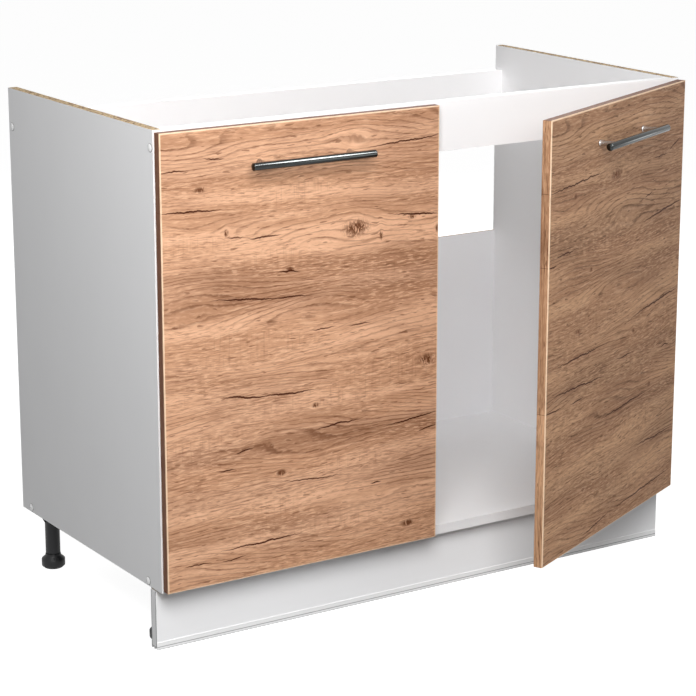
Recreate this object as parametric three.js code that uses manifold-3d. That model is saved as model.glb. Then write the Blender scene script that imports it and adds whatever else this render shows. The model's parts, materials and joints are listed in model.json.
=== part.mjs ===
// Sink base cabinet with two doors, concealed linkage hinges, adjustable legs and a plinth.
// Millimetres, +Z up. x runs along the width, y from the front to the rear.
// The origin lies on the floor, in the middle of the underside of the plinth's sealing strip.

import * as THREE from 'three';
import { mergeVertices } from 'three/addons/utils/BufferGeometryUtils.js';
import Module from 'manifold-3d';

const wasm = await Module();
wasm.setup();

// ---------------------------------------------------------------- driving dimensions

// Carcass
const CABINET_WIDTH = 1000;
const CARCASS_HEIGHT = 720;
const CARCASS_DEPTH = 500;
const BOARD = 16;
const RAIL_HEIGHT = 80;
const REAR_RAIL_DROP = 43;
const BACK_THICKNESS = 4;
const BACK_HEIGHT = 372;
const BACK_REBATE_WIDTH = 9;

// Plinth and legs
const LEG_HEIGHT = 100;
const PLINTH_SETBACK = 21;
const PLINTH_BOARD = 16;
const PLINTH_TOP_GAP = 3;
const SEAL_FOOT = 5;
const SEAL_GRIP = 7;
const SEAL_WALL = 1;
const SEAL_LIP_TAPER = 0.4;
const LEG_FROM_SIDE = 31;
const FRONT_LEG_FROM_FRONT = 61;
const REAR_LEG_FROM_REAR = 47;
const LEG_FLANGE_RADIUS = 23.5;
const LEG_FLANGE_THICKNESS = 4;
const LEG_SCREW_CIRCLE = 18.5;
const LEG_SCREW_RADIUS = 2.2;
const LEG_TUBE_RADIUS = 12.5;
const LEG_TUBE_WALL = 2.3;
const LEG_RIB_THICKNESS = 2.4;
const LEG_RIB_DROP = 16;
const LEG_RIB_SETBACK = 2;
const FOOT_RADIUS = 20;
const FOOT_HEIGHT = 20;
const FOOT_RIM_HEIGHT = 12;
const FOOT_SHOULDER = 2.5;
const FOOT_CHAMFER = 1;
const FOOT_NOTCHES = 8;
const FOOT_NOTCH_WIDTH = 3.4;
const FOOT_NOTCH_HEIGHT = 5;
const FOOT_NOTCH_DEPTH = 2;
const FOOT_RETRACT_GAP = 6;
const SPINDLE_LENGTH = 48;
const SPINDLE_CLEARANCE = 0.5;
const SPINDLE_TAPER = 2;
const CLIP_HEIGHT = 24;
const CLIP_WALL = 2.4;
const CLIP_PLATE_WIDTH = 44;
const CLIP_FROM_FLOOR = 50;
const CLIP_MOUTH = 50; // half angle of the ring's opening, in degrees
const CLIP_SCREW_RADIUS = 1.8;
const CLIP_SCREW_FROM_END = 5;

// Doors and handles
const DOOR_THICKNESS = 16;
const DOOR_BACK_GAP = 2;
const DOOR_SIDE_REVEAL = 1.5;
const DOOR_MIDDLE_GAP = 3;
const DOOR_TOP_REVEAL = 3;
const DOOR_BOTTOM_REVEAL = 4;
const DOOR_EDGE_ROUND = 1.2;
const HANDLE_FROM_TOP = 58;
const HANDLE_LENGTH = 220;
const HANDLE_BAR_RADIUS = 6;
const HANDLE_BAR_CHAMFER = 0.7;
const HANDLE_POST_SPACING = 160;
const HANDLE_POST_RADIUS = 5;
const HANDLE_POST_FLARE = 1;
const HANDLE_STANDOFF = 31;
const HANDLE_SCREW_RADIUS = 2;
const HANDLE_SCREW_HEAD_RADIUS = 4;
const HANDLE_SCREW_REACH = 10;
const RECESS_LENGTH = 4;
const RECESS_WIDTH = 1;
const RECESS_DEPTH = 1.2;

// Hinges. The pivots are measured from the cup's centre on the door's rear face, with the door closed:
// x runs inwards, y rearwards.
const HINGE_FROM_DOOR_END = 110;
const CUP_FROM_DOOR_EDGE = 21.5;
const ARM_OUTER_PIVOT_FROM_CUP = [13.5, 16];
const ARM_INNER_PIVOT_FROM_CUP = [3.1, -4.8];
const CUP_OUTER_PIVOT_FROM_CUP = [-12.5, -2.6];
const CUP_INNER_PIVOT_FROM_CUP = [-10.3, -5.9];
// Bends of the links and of the arm's tongue, measured like the pivots
const OUTER_LINK_BENDS = [[-8.5, -3.9], [-4, -3.2], [1.2, 1.4], [6.5, 8.4]];
const OUTER_LINK_LAST_BEND = [10, 12.4];
const OUTER_LINK_FORK_END = [7.5, 10];
const INNER_LINK_BENDS = [[-6.8, -8.2], [-3, -8.7], [0.6, -7.2]];
const TONGUE_BENDS = [[3.3, 0.5], [1.6, 8]];
const TONGUE_END = [0.4, 23];
const OUTER_LINK_TURN = 0.239; // degrees per degree of the door, the other way round
const INNER_LINK_TURN = 0.407;
const OPEN_PIVOT_PLAY = 1.05; // what the inner link's cup eye needs while the links turn at fixed ratios
const CUP_RADIUS = 17.2;
const CUP_BORE_CLEARANCE = 0.3;
const CUP_DEPTH = 12.5;
const CUP_WALL = 1;
const CUP_FLANGE_THICKNESS = 1.1;
const CUP_FLANGE_RADIUS = 19;
const CUP_SCREW_SPACING = 45;
const CUP_SCREW_OFFSET = 9.5;
const CUP_EAR_RADIUS = 6;
const CUP_SCREW_RADIUS = 2.1;
const PIN_RADIUS = 1;
const PIN_CLEARANCE = 0.15;
const LINK_EYE_RADIUS = 2.4;
const LINK_HALF_THICKNESS = 1.2;
const KNUCKLE_RADIUS = 3.6;
const KNUCKLE_NECK = 2.2;
const OPEN_EYE_WALL = 0.8;
const INNER_LINK_HALF_WIDTH = 3.2;
const OUTER_LINK_HALF_WIDTH = 6;
const LINK_SIDE_PLAY = 0.4;
const TONGUE_HALF = 0.9;
const TONGUE_HALF_DEPTH = 1.8;
const TONGUE_ROOT_LENGTH = 4;
const ARM_CHEEK = 1.5;
const ARM_BELOW_PIVOT = 8;
const ARM_NOSE_REACH = 6.5;
const ARM_NOSE_LENGTH = 10.5;
const ARM_SHOULDER = 6;
const ARM_REAR = 62; // from the carcass's front edge, like the web, the plate's screws and its clamp screw
const ARM_WEB_START = 26;
const ARM_ADJUSTER_LINE = 33;
const ARM_ADJUSTER_RADIUS = 3.2;
const ARM_CLAMP_LINE = 50;
const ARM_CLAMP_RADIUS = 2.6;
const ARM_FROM_SIDE = 3;
const PLATE_WING_HALF_HEIGHT = 26;
const PLATE_WING_WIDTH = 14;
const PLATE_BASE = 2;
const PLATE_SCREW_SPACING = 32;
const PLATE_SCREW_LINE = 37;
const PLATE_SCREW_RADIUS = 2.4;
const PLATE_BAR_LEAD = 3;
const PLATE_CLAMP_DEPTH = 8;
const PLATE_CLAMP_RADIUS = 2;

// Cover caps on the carcass fixings, which run into the middle of the rails' and the bottom's thickness
const CAP_RADIUS = 7;
const CAP_RISE = 1.6;
const CAP_ROUND = 1.4;
const CAP_PEG_RADIUS = 2;
const CAP_PEG_LENGTH = 4;
const FRONT_RAIL_FIXING_DROP = 27;
const REAR_RAIL_FIXING_DROP = 20;
const BOTTOM_FIXING_FROM_FRONT = 44;
const BOTTOM_FIXING_FROM_REAR = 34;

// Fits
const SEAT_GAP = 0.3; // between pieces that touch inside a turned group or on a round seat
const PAST_FACE = 1; // how far a cut runs past the face that it opens

// Pose in which the cabinet stands: degrees by which each door is open
const DOOR_OPEN = { left: 0, right: 26 };

// Facets round a full turn
const FINE = 24;
const MEDIUM = 16;
const EYE = 10;
const SMALL = 8;
const CURVE_STEPS = 4; // per curved stretch of an outline
const BEVEL_STEPS = 3; // across a rounded edge of a door

// ---------------------------------------------------------------- derived levels

const HALF_WIDTH = CABINET_WIDTH / 2;
const FRONT_Y = -(PLINTH_SETBACK + PLINTH_BOARD / 2);
const REAR_Y = FRONT_Y + CARCASS_DEPTH;
const FLOOR_Z = 0;
const CARCASS_BOTTOM = FLOOR_Z + LEG_HEIGHT;
const CARCASS_TOP = CARCASS_BOTTOM + CARCASS_HEIGHT;
const INNER_HALF_WIDTH = HALF_WIDTH - BOARD;
const DOOR_WIDTH = HALF_WIDTH - DOOR_SIDE_REVEAL - DOOR_MIDDLE_GAP / 2;
const DOOR_BOTTOM = CARCASS_BOTTOM + DOOR_BOTTOM_REVEAL;
const DOOR_TOP = CARCASS_TOP - DOOR_TOP_REVEAL;
const DOOR_BACK = -DOOR_BACK_GAP;
const DOOR_FACE = DOOR_BACK - DOOR_THICKNESS;
const HANDLE_Z = DOOR_TOP - HANDLE_FROM_TOP;
const HANDLE_MIDDLE = DOOR_SIDE_REVEAL + DOOR_WIDTH / 2;
const HINGE_HEIGHTS = {
  lower: DOOR_BOTTOM + HINGE_FROM_DOOR_END,
  upper: DOOR_TOP - HINGE_FROM_DOOR_END,
};
// Hinge plane: x inwards from the side's outer face, y rearwards from the carcass's front edge
const CUP_CENTRE = new THREE.Vector2(DOOR_SIDE_REVEAL + CUP_FROM_DOOR_EDGE, DOOR_BACK);
const fromCup = ([x, y]) => new THREE.Vector2(CUP_CENTRE.x + x, CUP_CENTRE.y + y);
const ARM_OUTER_PIVOT = fromCup(ARM_OUTER_PIVOT_FROM_CUP);
const ARM_INNER_PIVOT = fromCup(ARM_INNER_PIVOT_FROM_CUP);
const CUP_OUTER_PIVOT = fromCup(CUP_OUTER_PIVOT_FROM_CUP);
const CUP_INNER_PIVOT = fromCup(CUP_INNER_PIVOT_FROM_CUP);
const CUP_BORE_RADIUS = CUP_RADIUS + CUP_BORE_CLEARANCE;

// ---------------------------------------------------------------- materials

const material = (color, roughness, metalness = 0) =>
  new THREE.MeshStandardMaterial({ color, roughness, metalness });
const whiteBoard = material(0xf2f2f0, 0.5);
const whiteBack = material(0xececea, 0.6);
const oakBoard = material(0xc79a6c, 0.55);
const blackPlastic = material(0x1b1b1c, 0.5);
const whitePlastic = material(0xf4f4f4, 0.4);
const clearSeal = material(0xdedede, 0.35);
const chrome = material(0xc9ccd0, 0.15, 1);
const nickel = material(0xb9bbbd, 0.3, 1);
const zinc = material(0xc4c6c9, 0.35, 1);

// ---------------------------------------------------------------- solids and placing

function toSolid(geometry) {
  const bare = geometry.clone();
  bare.deleteAttribute('normal');
  bare.deleteAttribute('uv');
  const merged = mergeVertices(bare, 1e-4);
  return new wasm.Manifold(new wasm.Mesh({
    numProp: 3,
    vertProperties: new Float32Array(merged.attributes.position.array),
    triVerts: new Uint32Array(merged.index.array),
  }));
}

function toGeometry(solid) {
  const { vertProperties, triVerts } = solid.getMesh();
  const geometry = new THREE.BufferGeometry();
  geometry.setAttribute('position', new THREE.BufferAttribute(vertProperties, 3));
  geometry.setIndex(new THREE.BufferAttribute(triVerts, 1));
  geometry.computeVertexNormals();
  return geometry;
}

function join(...geometries) {
  return geometries.map(toSolid).reduce((whole, piece) => whole.add(piece));
}

function cut(solid, ...geometries) {
  return geometries.map(toSolid).reduce((rest, piece) => rest.subtract(piece), solid);
}

function block([x0, x1], [y0, y1], [z0, z1]) {
  const geometry = new THREE.BoxGeometry(x1 - x0, y1 - y0, z1 - z0);
  return geometry.translate((x0 + x1) / 2, (y0 + y1) / 2, (z0 + z1) / 2);
}

// Turns a shape made along y so that its length lies along another axis.
function alongAxis(geometry, axis) {
  if (axis === 'x') geometry.rotateZ(-Math.PI / 2);
  if (axis === 'z') geometry.rotateX(Math.PI / 2);
  return geometry;
}

function rod(axis, radius, [from, to], centre, segments = MEDIUM) {
  const geometry = new THREE.CylinderGeometry(radius, radius, to - from, segments);
  geometry.translate(0, (from + to) / 2, 0);
  return alongAxis(geometry, axis).translate(...centre);
}

// A turned shape: the profile holds [radius, distance along the axis] points and starts and ends on the axis.
function turned(axis, profile, centre = [0, 0, 0], segments = MEDIUM) {
  const points = profile.map(([radius, along]) => new THREE.Vector2(radius, along));
  const geometry = new THREE.LatheGeometry(points, segments);
  return alongAxis(geometry, axis).translate(...centre);
}

// A flat plate: the outline lies in x and y, its thickness runs along z.
function plate(shape, [z0, z1], curveSegments = CURVE_STEPS) {
  const geometry = new THREE.ExtrudeGeometry(shape, { depth: z1 - z0, bevelEnabled: false, curveSegments });
  return geometry.translate(0, 0, z0);
}

// The outline of a profile in y and z, carried along x.
function profileAlongX(shape, [x0, x1], curveSegments = CURVE_STEPS) {
  const geometry = plate(shape, [x0, x1], curveSegments);
  const basis = new THREE.Matrix4().makeBasis(
    new THREE.Vector3(0, 1, 0), new THREE.Vector3(0, 0, 1), new THREE.Vector3(1, 0, 0));
  return geometry.applyMatrix4(basis);
}

function outline(points) {
  return new THREE.Shape(points.map(([a, b]) => new THREE.Vector2(a, b)));
}

function mirroredX(geometry) {
  const mirrored = geometry.clone().scale(-1, 1, 1);
  const index = mirrored.index.array;
  for (let corner = 0; corner < index.length; corner += 3) {
    [index[corner + 1], index[corner + 2]] = [index[corner + 2], index[corner + 1]];
  }
  mirrored.computeVertexNormals();
  return mirrored;
}

function named(name, geometry, finish) {
  const mesh = new THREE.Mesh(geometry, finish);
  mesh.name = name;
  return mesh;
}

const cabinet = new THREE.Group();

// ---------------------------------------------------------------- carcass

const REAR_RAIL_FRONT = REAR_Y - BACK_THICKNESS - BOARD;
const REAR_RAIL_TOP = CARCASS_TOP - REAR_RAIL_DROP;
const capPlaces = [
  { label: 'front_top', y: FRONT_Y + BOARD / 2, z: CARCASS_TOP - FRONT_RAIL_FIXING_DROP },
  { label: 'rear_top', y: REAR_RAIL_FRONT + BOARD / 2, z: REAR_RAIL_TOP - REAR_RAIL_FIXING_DROP },
  { label: 'front_bottom', y: FRONT_Y + BOTTOM_FIXING_FROM_FRONT, z: CARCASS_BOTTOM + BOARD / 2 },
  { label: 'rear_bottom', y: REAR_Y - BOTTOM_FIXING_FROM_REAR, z: CARCASS_BOTTOM + BOARD / 2 },
];

// The left side; the right one is its mirror image.
function sidePanel() {
  const thickness = [-HALF_WIDTH, -INNER_HALF_WIDTH];
  const whole = join(block(thickness, [FRONT_Y, REAR_Y], [CARCASS_BOTTOM, CARCASS_TOP]));
  const backRebate = block(
    [-INNER_HALF_WIDTH - BACK_REBATE_WIDTH, -INNER_HALF_WIDTH + PAST_FACE],
    [REAR_Y - BACK_THICKNESS, REAR_Y + PAST_FACE],
    [CARCASS_BOTTOM - PAST_FACE, CARCASS_BOTTOM + BACK_HEIGHT]);
  const capHoles = capPlaces.map(({ y, z }) => rod('x', CAP_PEG_RADIUS + SEAT_GAP,
    [-HALF_WIDTH - PAST_FACE, -HALF_WIDTH + CAP_PEG_LENGTH + SEAT_GAP], [0, y, z], SMALL));
  return toGeometry(cut(whole, backRebate, ...capHoles));
}

function rail(frontFace, top) {
  const length = [-INNER_HALF_WIDTH, INNER_HALF_WIDTH];
  return block(length, [frontFace, frontFace + BOARD], [top - RAIL_HEIGHT, top]);
}

function buildCarcass() {
  const side = sidePanel();
  const backHalfWidth = INNER_HALF_WIDTH + BACK_REBATE_WIDTH;
  cabinet.add(
    named('side_left', side, whiteBoard),
    named('side_right', mirroredX(side), whiteBoard),
    named('bottom_panel', block(
      [-INNER_HALF_WIDTH, INNER_HALF_WIDTH],
      [FRONT_Y, REAR_Y - BACK_THICKNESS],
      [CARCASS_BOTTOM, CARCASS_BOTTOM + BOARD]), whiteBoard),
    named('front_rail', rail(FRONT_Y, CARCASS_TOP), whiteBoard),
    named('rear_rail', rail(REAR_RAIL_FRONT, REAR_RAIL_TOP), whiteBoard),
    named('back_panel', block(
      [-backHalfWidth, backHalfWidth],
      [REAR_Y - BACK_THICKNESS, REAR_Y],
      [CARCASS_BOTTOM, CARCASS_BOTTOM + BACK_HEIGHT]), whiteBack));
}

// A shallow dome with a peg that plugs the head of the fixing. It points out of the left side.
function coverCap(y, z) {
  const peg = CAP_PEG_LENGTH;
  const profile = [
    [0, -peg], [CAP_PEG_RADIUS, -peg], [CAP_PEG_RADIUS, 0], [CAP_RADIUS, 0],
    [CAP_RADIUS, CAP_RISE / 2], [CAP_RADIUS - CAP_ROUND, CAP_RISE], [0, CAP_RISE],
  ];
  const cap = alongAxis(new THREE.LatheGeometry(profile.map(([r, h]) => new THREE.Vector2(r, h)), EYE), 'x');
  return toGeometry(toSolid(cap.rotateZ(Math.PI).translate(-HALF_WIDTH, y, z)));
}

function buildCaps() {
  for (const { label, y, z } of capPlaces) {
    const cap = coverCap(y, z);
    cabinet.add(
      named(`cap_left_${label}`, cap, whitePlastic),
      named(`cap_right_${label}`, mirroredX(cap), whitePlastic));
  }
}

// ---------------------------------------------------------------- legs and plinth

const LEG_BORE_RADIUS = LEG_TUBE_RADIUS - LEG_TUBE_WALL;
const LEG_TUBE_BOTTOM = FOOT_HEIGHT + FOOT_RETRACT_GAP;
const SPINDLE_RADIUS = LEG_BORE_RADIUS - SPINDLE_CLEARANCE;

// Flange, ribs and tube of one leg, with the leg's axis on x = y = 0.
function legBody() {
  const flangeBottom = CARCASS_BOTTOM - LEG_FLANGE_THICKNESS;
  const ribHeights = [flangeBottom - LEG_RIB_DROP, flangeBottom + PAST_FACE];
  const ribReach = LEG_FLANGE_RADIUS - LEG_RIB_SETBACK;
  const shell = join(
    rod('z', LEG_FLANGE_RADIUS, [flangeBottom, CARCASS_BOTTOM], [0, 0, 0]),
    rod('z', LEG_TUBE_RADIUS, [LEG_TUBE_BOTTOM, CARCASS_BOTTOM], [0, 0, 0]));
  const rib = outline([
    [0, ribHeights[1]], [0, ribHeights[0]], [LEG_TUBE_RADIUS, ribHeights[0]],
    [ribReach, flangeBottom], [ribReach, ribHeights[1]],
  ]);
  let body = shell;
  for (let quarter = 0; quarter < 4; quarter += 1) {
    const web = plate(rib, [-LEG_RIB_THICKNESS / 2, LEG_RIB_THICKNESS / 2]).rotateX(Math.PI / 2);
    body = body.add(toSolid(web.rotateZ(quarter * Math.PI / 2)));
  }
  const bore = rod('z', LEG_BORE_RADIUS, [0, flangeBottom], [0, 0, 0]);
  const screwHoles = [45, 135, 225, 315].map((angle) => {
    const turn = THREE.MathUtils.degToRad(angle);
    const place = [LEG_SCREW_CIRCLE * Math.cos(turn), LEG_SCREW_CIRCLE * Math.sin(turn), 0];
    return rod('z', LEG_SCREW_RADIUS, [flangeBottom - PAST_FACE, CARCASS_BOTTOM + PAST_FACE], place, SMALL);
  });
  return toGeometry(cut(body, bore, ...screwHoles));
}

// Foot with its spindle; the rim's notches give the fingers a grip for turning it.
function legFoot() {
  const shoulderTop = (FOOT_RIM_HEIGHT + FOOT_HEIGHT) / 2;
  const spindleTop = FOOT_HEIGHT + SPINDLE_LENGTH;
  const solid = join(turned('z', [
    [0, 0], [FOOT_RADIUS - FOOT_CHAMFER, 0], [FOOT_RADIUS, FOOT_CHAMFER], [FOOT_RADIUS, FOOT_RIM_HEIGHT],
    [FOOT_RADIUS - FOOT_SHOULDER, shoulderTop], [LEG_TUBE_RADIUS, FOOT_HEIGHT],
    [SPINDLE_RADIUS, FOOT_HEIGHT], [SPINDLE_RADIUS, spindleTop - SPINDLE_TAPER],
    [SPINDLE_RADIUS - SPINDLE_TAPER, spindleTop], [0, spindleTop],
  ]));
  const notches = Array.from({ length: FOOT_NOTCHES }, (_, step) => block(
    [FOOT_RADIUS - FOOT_NOTCH_DEPTH, FOOT_RADIUS + PAST_FACE],
    [-FOOT_NOTCH_WIDTH / 2, FOOT_NOTCH_WIDTH / 2],
    [-PAST_FACE, FOOT_NOTCH_HEIGHT]).rotateZ((step + 0.5) * 2 * Math.PI / FOOT_NOTCHES));
  return toGeometry(cut(solid, ...notches));
}

const legX = HALF_WIDTH - LEG_FROM_SIDE;
const FRONT_LEG_Y = FRONT_Y + FRONT_LEG_FROM_FRONT;
const REAR_LEG_Y = REAR_Y - REAR_LEG_FROM_REAR;

function buildLegs() {
  const body = legBody();
  const foot = legFoot();
  for (const [row, y] of [['front', FRONT_LEG_Y], ['rear', REAR_LEG_Y]]) {
    for (const [side, x] of [['left', -legX], ['right', legX]]) {
      const leg = new THREE.Group();
      leg.position.set(x, y, FLOOR_Z);
      leg.add(
        named(`leg_${row}_${side}`, body, blackPlastic),
        named(`foot_${row}_${side}`, foot, blackPlastic));
      cabinet.add(leg);
    }
  }
}

const PLINTH_FRONT = -PLINTH_BOARD / 2;
const PLINTH_REAR = PLINTH_BOARD / 2;
const PLINTH_BOTTOM = FLOOR_Z + SEAL_FOOT;

// The strip grips the plinth's lower edge and stands on three soft lips.
function sealStrip() {
  const inner = PLINTH_BOARD / 2;
  const outer = inner + SEAL_WALL;
  const web = PLINTH_BOTTOM - SEAL_WALL;
  const top = PLINTH_BOTTOM + SEAL_GRIP;
  const lip = SEAL_WALL;
  return profileAlongX(outline([
    [-outer, 0], [-inner, 0], [-inner + SEAL_LIP_TAPER, web], [-lip, web], [-lip, 0],
    [lip, 0], [lip, web], [inner - SEAL_LIP_TAPER, web], [inner, 0], [outer, 0],
    [outer, top], [inner, top], [inner, PLINTH_BOTTOM], [-inner, PLINTH_BOTTOM], [-inner, top], [-outer, top],
  ]), [-HALF_WIDTH, HALF_WIDTH]);
}

// A spring ring round the front leg, on a plate behind the plinth.
function plinthClip() {
  const inner = LEG_TUBE_RADIUS + SEAT_GAP;
  const outer = inner + CLIP_WALL;
  const mouth = THREE.MathUtils.degToRad(CLIP_MOUTH);
  const ring = new THREE.Shape();
  const middle = Math.PI / 2;
  ring.absarc(0, 0, outer, middle + mouth, middle - mouth + 2 * Math.PI, false);
  ring.absarc(0, 0, inner, middle - mouth + 2 * Math.PI, middle + mouth, true);
  const heights = [CLIP_FROM_FLOOR, CLIP_FROM_FLOOR + CLIP_HEIGHT];
  const plinthRear = PLINTH_REAR - FRONT_LEG_Y;
  const plateRear = Math.min(plinthRear + CLIP_WALL, -inner);
  const solid = join(
    plate(ring, heights, EYE),
    block([-CLIP_PLATE_WIDTH / 2, CLIP_PLATE_WIDTH / 2], [plinthRear, plateRear], heights),
    block([-CLIP_WALL * 2, CLIP_WALL * 2], [plateRear - CLIP_WALL / 2, -inner - CLIP_WALL / 2], heights));
  const screwX = CLIP_PLATE_WIDTH / 2 - CLIP_SCREW_FROM_END;
  const screwHoles = [-screwX, screwX].map((x) => rod('y', CLIP_SCREW_RADIUS,
    [plinthRear - PAST_FACE, plateRear + PAST_FACE], [x, 0, CLIP_FROM_FLOOR + CLIP_HEIGHT / 2], SMALL));
  return toGeometry(cut(solid, ...screwHoles));
}

function buildPlinth() {
  const clip = plinthClip();
  cabinet.add(
    named('plinth_board', block(
      [-HALF_WIDTH, HALF_WIDTH],
      [PLINTH_FRONT, PLINTH_REAR],
      [PLINTH_BOTTOM, CARCASS_BOTTOM - PLINTH_TOP_GAP]), whiteBoard),
    named('plinth_seal', sealStrip(), clearSeal));
  for (const [side, x] of [['left', -legX], ['right', legX]]) {
    const place = new THREE.Group();
    place.position.set(x, FRONT_LEG_Y, 0);
    place.add(named(`plinth_clip_${side}`, clip, blackPlastic));
    cabinet.add(place);
  }
}

// ---------------------------------------------------------------- hinge pieces
// Left-hand pieces in the plane of x and y, with z = 0 at the hinge's middle height and the door closed.

const BORE_RADIUS = (PIN_RADIUS + PIN_CLEARANCE) / Math.cos(Math.PI / SMALL);
const OPEN_EYE_BORE = (PIN_RADIUS + OPEN_PIVOT_PLAY + PIN_CLEARANCE) / Math.cos(Math.PI / EYE);
const OPEN_EYE_RADIUS = OPEN_EYE_BORE + OPEN_EYE_WALL;
const CHEEK_INNER = OUTER_LINK_HALF_WIDTH + LINK_SIDE_PLAY;
const ARM_HALF_WIDTH = CHEEK_INNER + ARM_CHEEK;
const TONGUE_SLOT_HALF = TONGUE_HALF + LINK_SIDE_PLAY;
const ARM_TOP = ARM_OUTER_PIVOT.x - ARM_BELOW_PIVOT;
const THROUGH_HINGE = [-2 * ARM_HALF_WIDTH, 2 * ARM_HALF_WIDTH];

function disc(centre, radius, heights, segments = EYE) {
  return rod('z', radius, heights, [centre.x, centre.y, 0], segments);
}

// A bent strap of even width along a smooth line through the points.
function strap(points, halfWidth, heights, steps = 5) {
  const line = new THREE.SplineCurve(points);
  const left = [];
  const right = [];
  for (let step = 0; step <= steps; step += 1) {
    const at = line.getPoint(step / steps);
    const along = line.getTangent(step / steps);
    left.push(new THREE.Vector2(at.x - along.y * halfWidth, at.y + along.x * halfWidth));
    right.unshift(new THREE.Vector2(at.x + along.y * halfWidth, at.y - along.x * halfWidth));
  }
  return plate(new THREE.Shape([...left, ...right]), heights);
}

// Two cheeks that reach from the arm round the side's front corner into the cup, joined at the arm's end.
function outerLink() {
  const full = [-OUTER_LINK_HALF_WIDTH, OUTER_LINK_HALF_WIDTH];
  const bends = OUTER_LINK_BENDS.map(fromCup);
  const lastBends = [bends.at(-1), fromCup(OUTER_LINK_LAST_BEND)];
  const solid = join(
    strap([CUP_OUTER_PIVOT, ...bends, ARM_OUTER_PIVOT], LINK_HALF_THICKNESS, full),
    strap([...lastBends, ARM_OUTER_PIVOT], KNUCKLE_NECK, full, 3),
    disc(CUP_OUTER_PIVOT, LINK_EYE_RADIUS, full),
    disc(ARM_OUTER_PIVOT, KNUCKLE_RADIUS - LINK_SIDE_PLAY, full));
  const gap = INNER_LINK_HALF_WIDTH + LINK_SIDE_PLAY;
  const forkEnd = fromCup(OUTER_LINK_FORK_END);
  return toGeometry(cut(solid,
    block([0, forkEnd.x], [forkEnd.y - 2 * CUP_RADIUS, forkEnd.y], [-gap, gap]),
    disc(CUP_OUTER_PIVOT, BORE_RADIUS, THROUGH_HINGE, SMALL),
    disc(ARM_OUTER_PIVOT, BORE_RADIUS, THROUGH_HINGE, SMALL)));
}

// The short link between the cheeks, forked round the arm's tongue. Its cup eye has the open pivot's play.
function innerLink() {
  const full = [-INNER_LINK_HALF_WIDTH, INNER_LINK_HALF_WIDTH];
  const neck = [CUP_INNER_PIVOT, ...INNER_LINK_BENDS.map(fromCup), ARM_INNER_PIVOT];
  const solid = join(
    strap(neck, LINK_HALF_THICKNESS, full),
    disc(CUP_INNER_PIVOT, OPEN_EYE_RADIUS, full),
    disc(ARM_INNER_PIVOT, LINK_EYE_RADIUS, full));
  return toGeometry(cut(solid,
    disc(CUP_INNER_PIVOT, OPEN_EYE_BORE, THROUGH_HINGE),
    disc(ARM_INNER_PIVOT, LINK_EYE_RADIUS + PAST_FACE, [-TONGUE_SLOT_HALF, TONGUE_SLOT_HALF]),
    disc(ARM_INNER_PIVOT, BORE_RADIUS, THROUGH_HINGE, SMALL)));
}

// Channel-shaped arm with both of its rivet pins. Its cheeks carry the outer link, and a tongue between
// them reaches into the cup and carries the inner link.
function hingeArm() {
  const full = [-ARM_HALF_WIDTH, ARM_HALF_WIDTH];
  const wallSide = BOARD + ARM_FROM_SIDE;
  const { x: pivotX, y: pivotY } = ARM_OUTER_PIVOT;
  const noseY = pivotY - ARM_NOSE_REACH;
  const [knuckleFrom, knuckleTo] = [-Math.PI * 0.3, Math.PI * 0.55];
  const knuckleStart = new THREE.Vector2(KNUCKLE_RADIUS, 0).rotateAround(new THREE.Vector2(), knuckleFrom);
  knuckleStart.add(ARM_OUTER_PIVOT);
  const cheek = new THREE.Shape();
  cheek.moveTo(wallSide, ARM_REAR);
  cheek.lineTo(wallSide, pivotY);
  cheek.quadraticCurveTo(wallSide, noseY, pivotX - ARM_NOSE_LENGTH, noseY);
  cheek.quadraticCurveTo(pivotX - ARM_NOSE_LENGTH / 2, noseY, knuckleStart.x, knuckleStart.y);
  cheek.absarc(pivotX, pivotY, KNUCKLE_RADIUS, knuckleFrom, knuckleTo, false);
  cheek.quadraticCurveTo(ARM_TOP + ARM_SHOULDER / 2, pivotY + ARM_SHOULDER, ARM_TOP, ARM_WEB_START);
  cheek.lineTo(ARM_TOP, ARM_REAR);
  const channel = join(plate(cheek, full));
  const hollow = block([0, 2 * pivotX], [0, ARM_REAR + PAST_FACE], [-CHEEK_INNER, CHEEK_INNER]);
  const tongueWidth = [-TONGUE_HALF, TONGUE_HALF];
  const tongueEnd = fromCup(TONGUE_END);
  const tongueRoot = [tongueEnd.y - TONGUE_ROOT_LENGTH, tongueEnd.y];
  const tongue = join(
    strap([ARM_INNER_PIVOT, ...TONGUE_BENDS.map(fromCup), tongueEnd], TONGUE_HALF_DEPTH, tongueWidth),
    disc(ARM_INNER_PIVOT, LINK_EYE_RADIUS, tongueWidth),
    disc(ARM_INNER_PIVOT, PIN_RADIUS, [-INNER_LINK_HALF_WIDTH, INNER_LINK_HALF_WIDTH], SMALL),
    block([wallSide, ARM_TOP - ARM_CHEEK], tongueRoot, full));
  const web = block([ARM_TOP - ARM_CHEEK, ARM_TOP], [ARM_WEB_START, ARM_REAR], full);
  const throughWeb = [ARM_TOP - 2 * ARM_CHEEK, ARM_TOP + PAST_FACE];
  const clampHole = rod('x', ARM_CLAMP_RADIUS, throughWeb, [0, ARM_CLAMP_LINE, 0], SMALL);
  const adjusterHole = rod('x', ARM_ADJUSTER_RADIUS, throughWeb, [0, ARM_ADJUSTER_LINE, 0], SMALL);
  return toGeometry(cut(cut(channel, hollow).add(toSolid(web)), clampHole, adjusterHole)
    .add(toSolid(disc(ARM_OUTER_PIVOT, PIN_RADIUS, full, SMALL)))
    .add(tongue));
}

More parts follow.
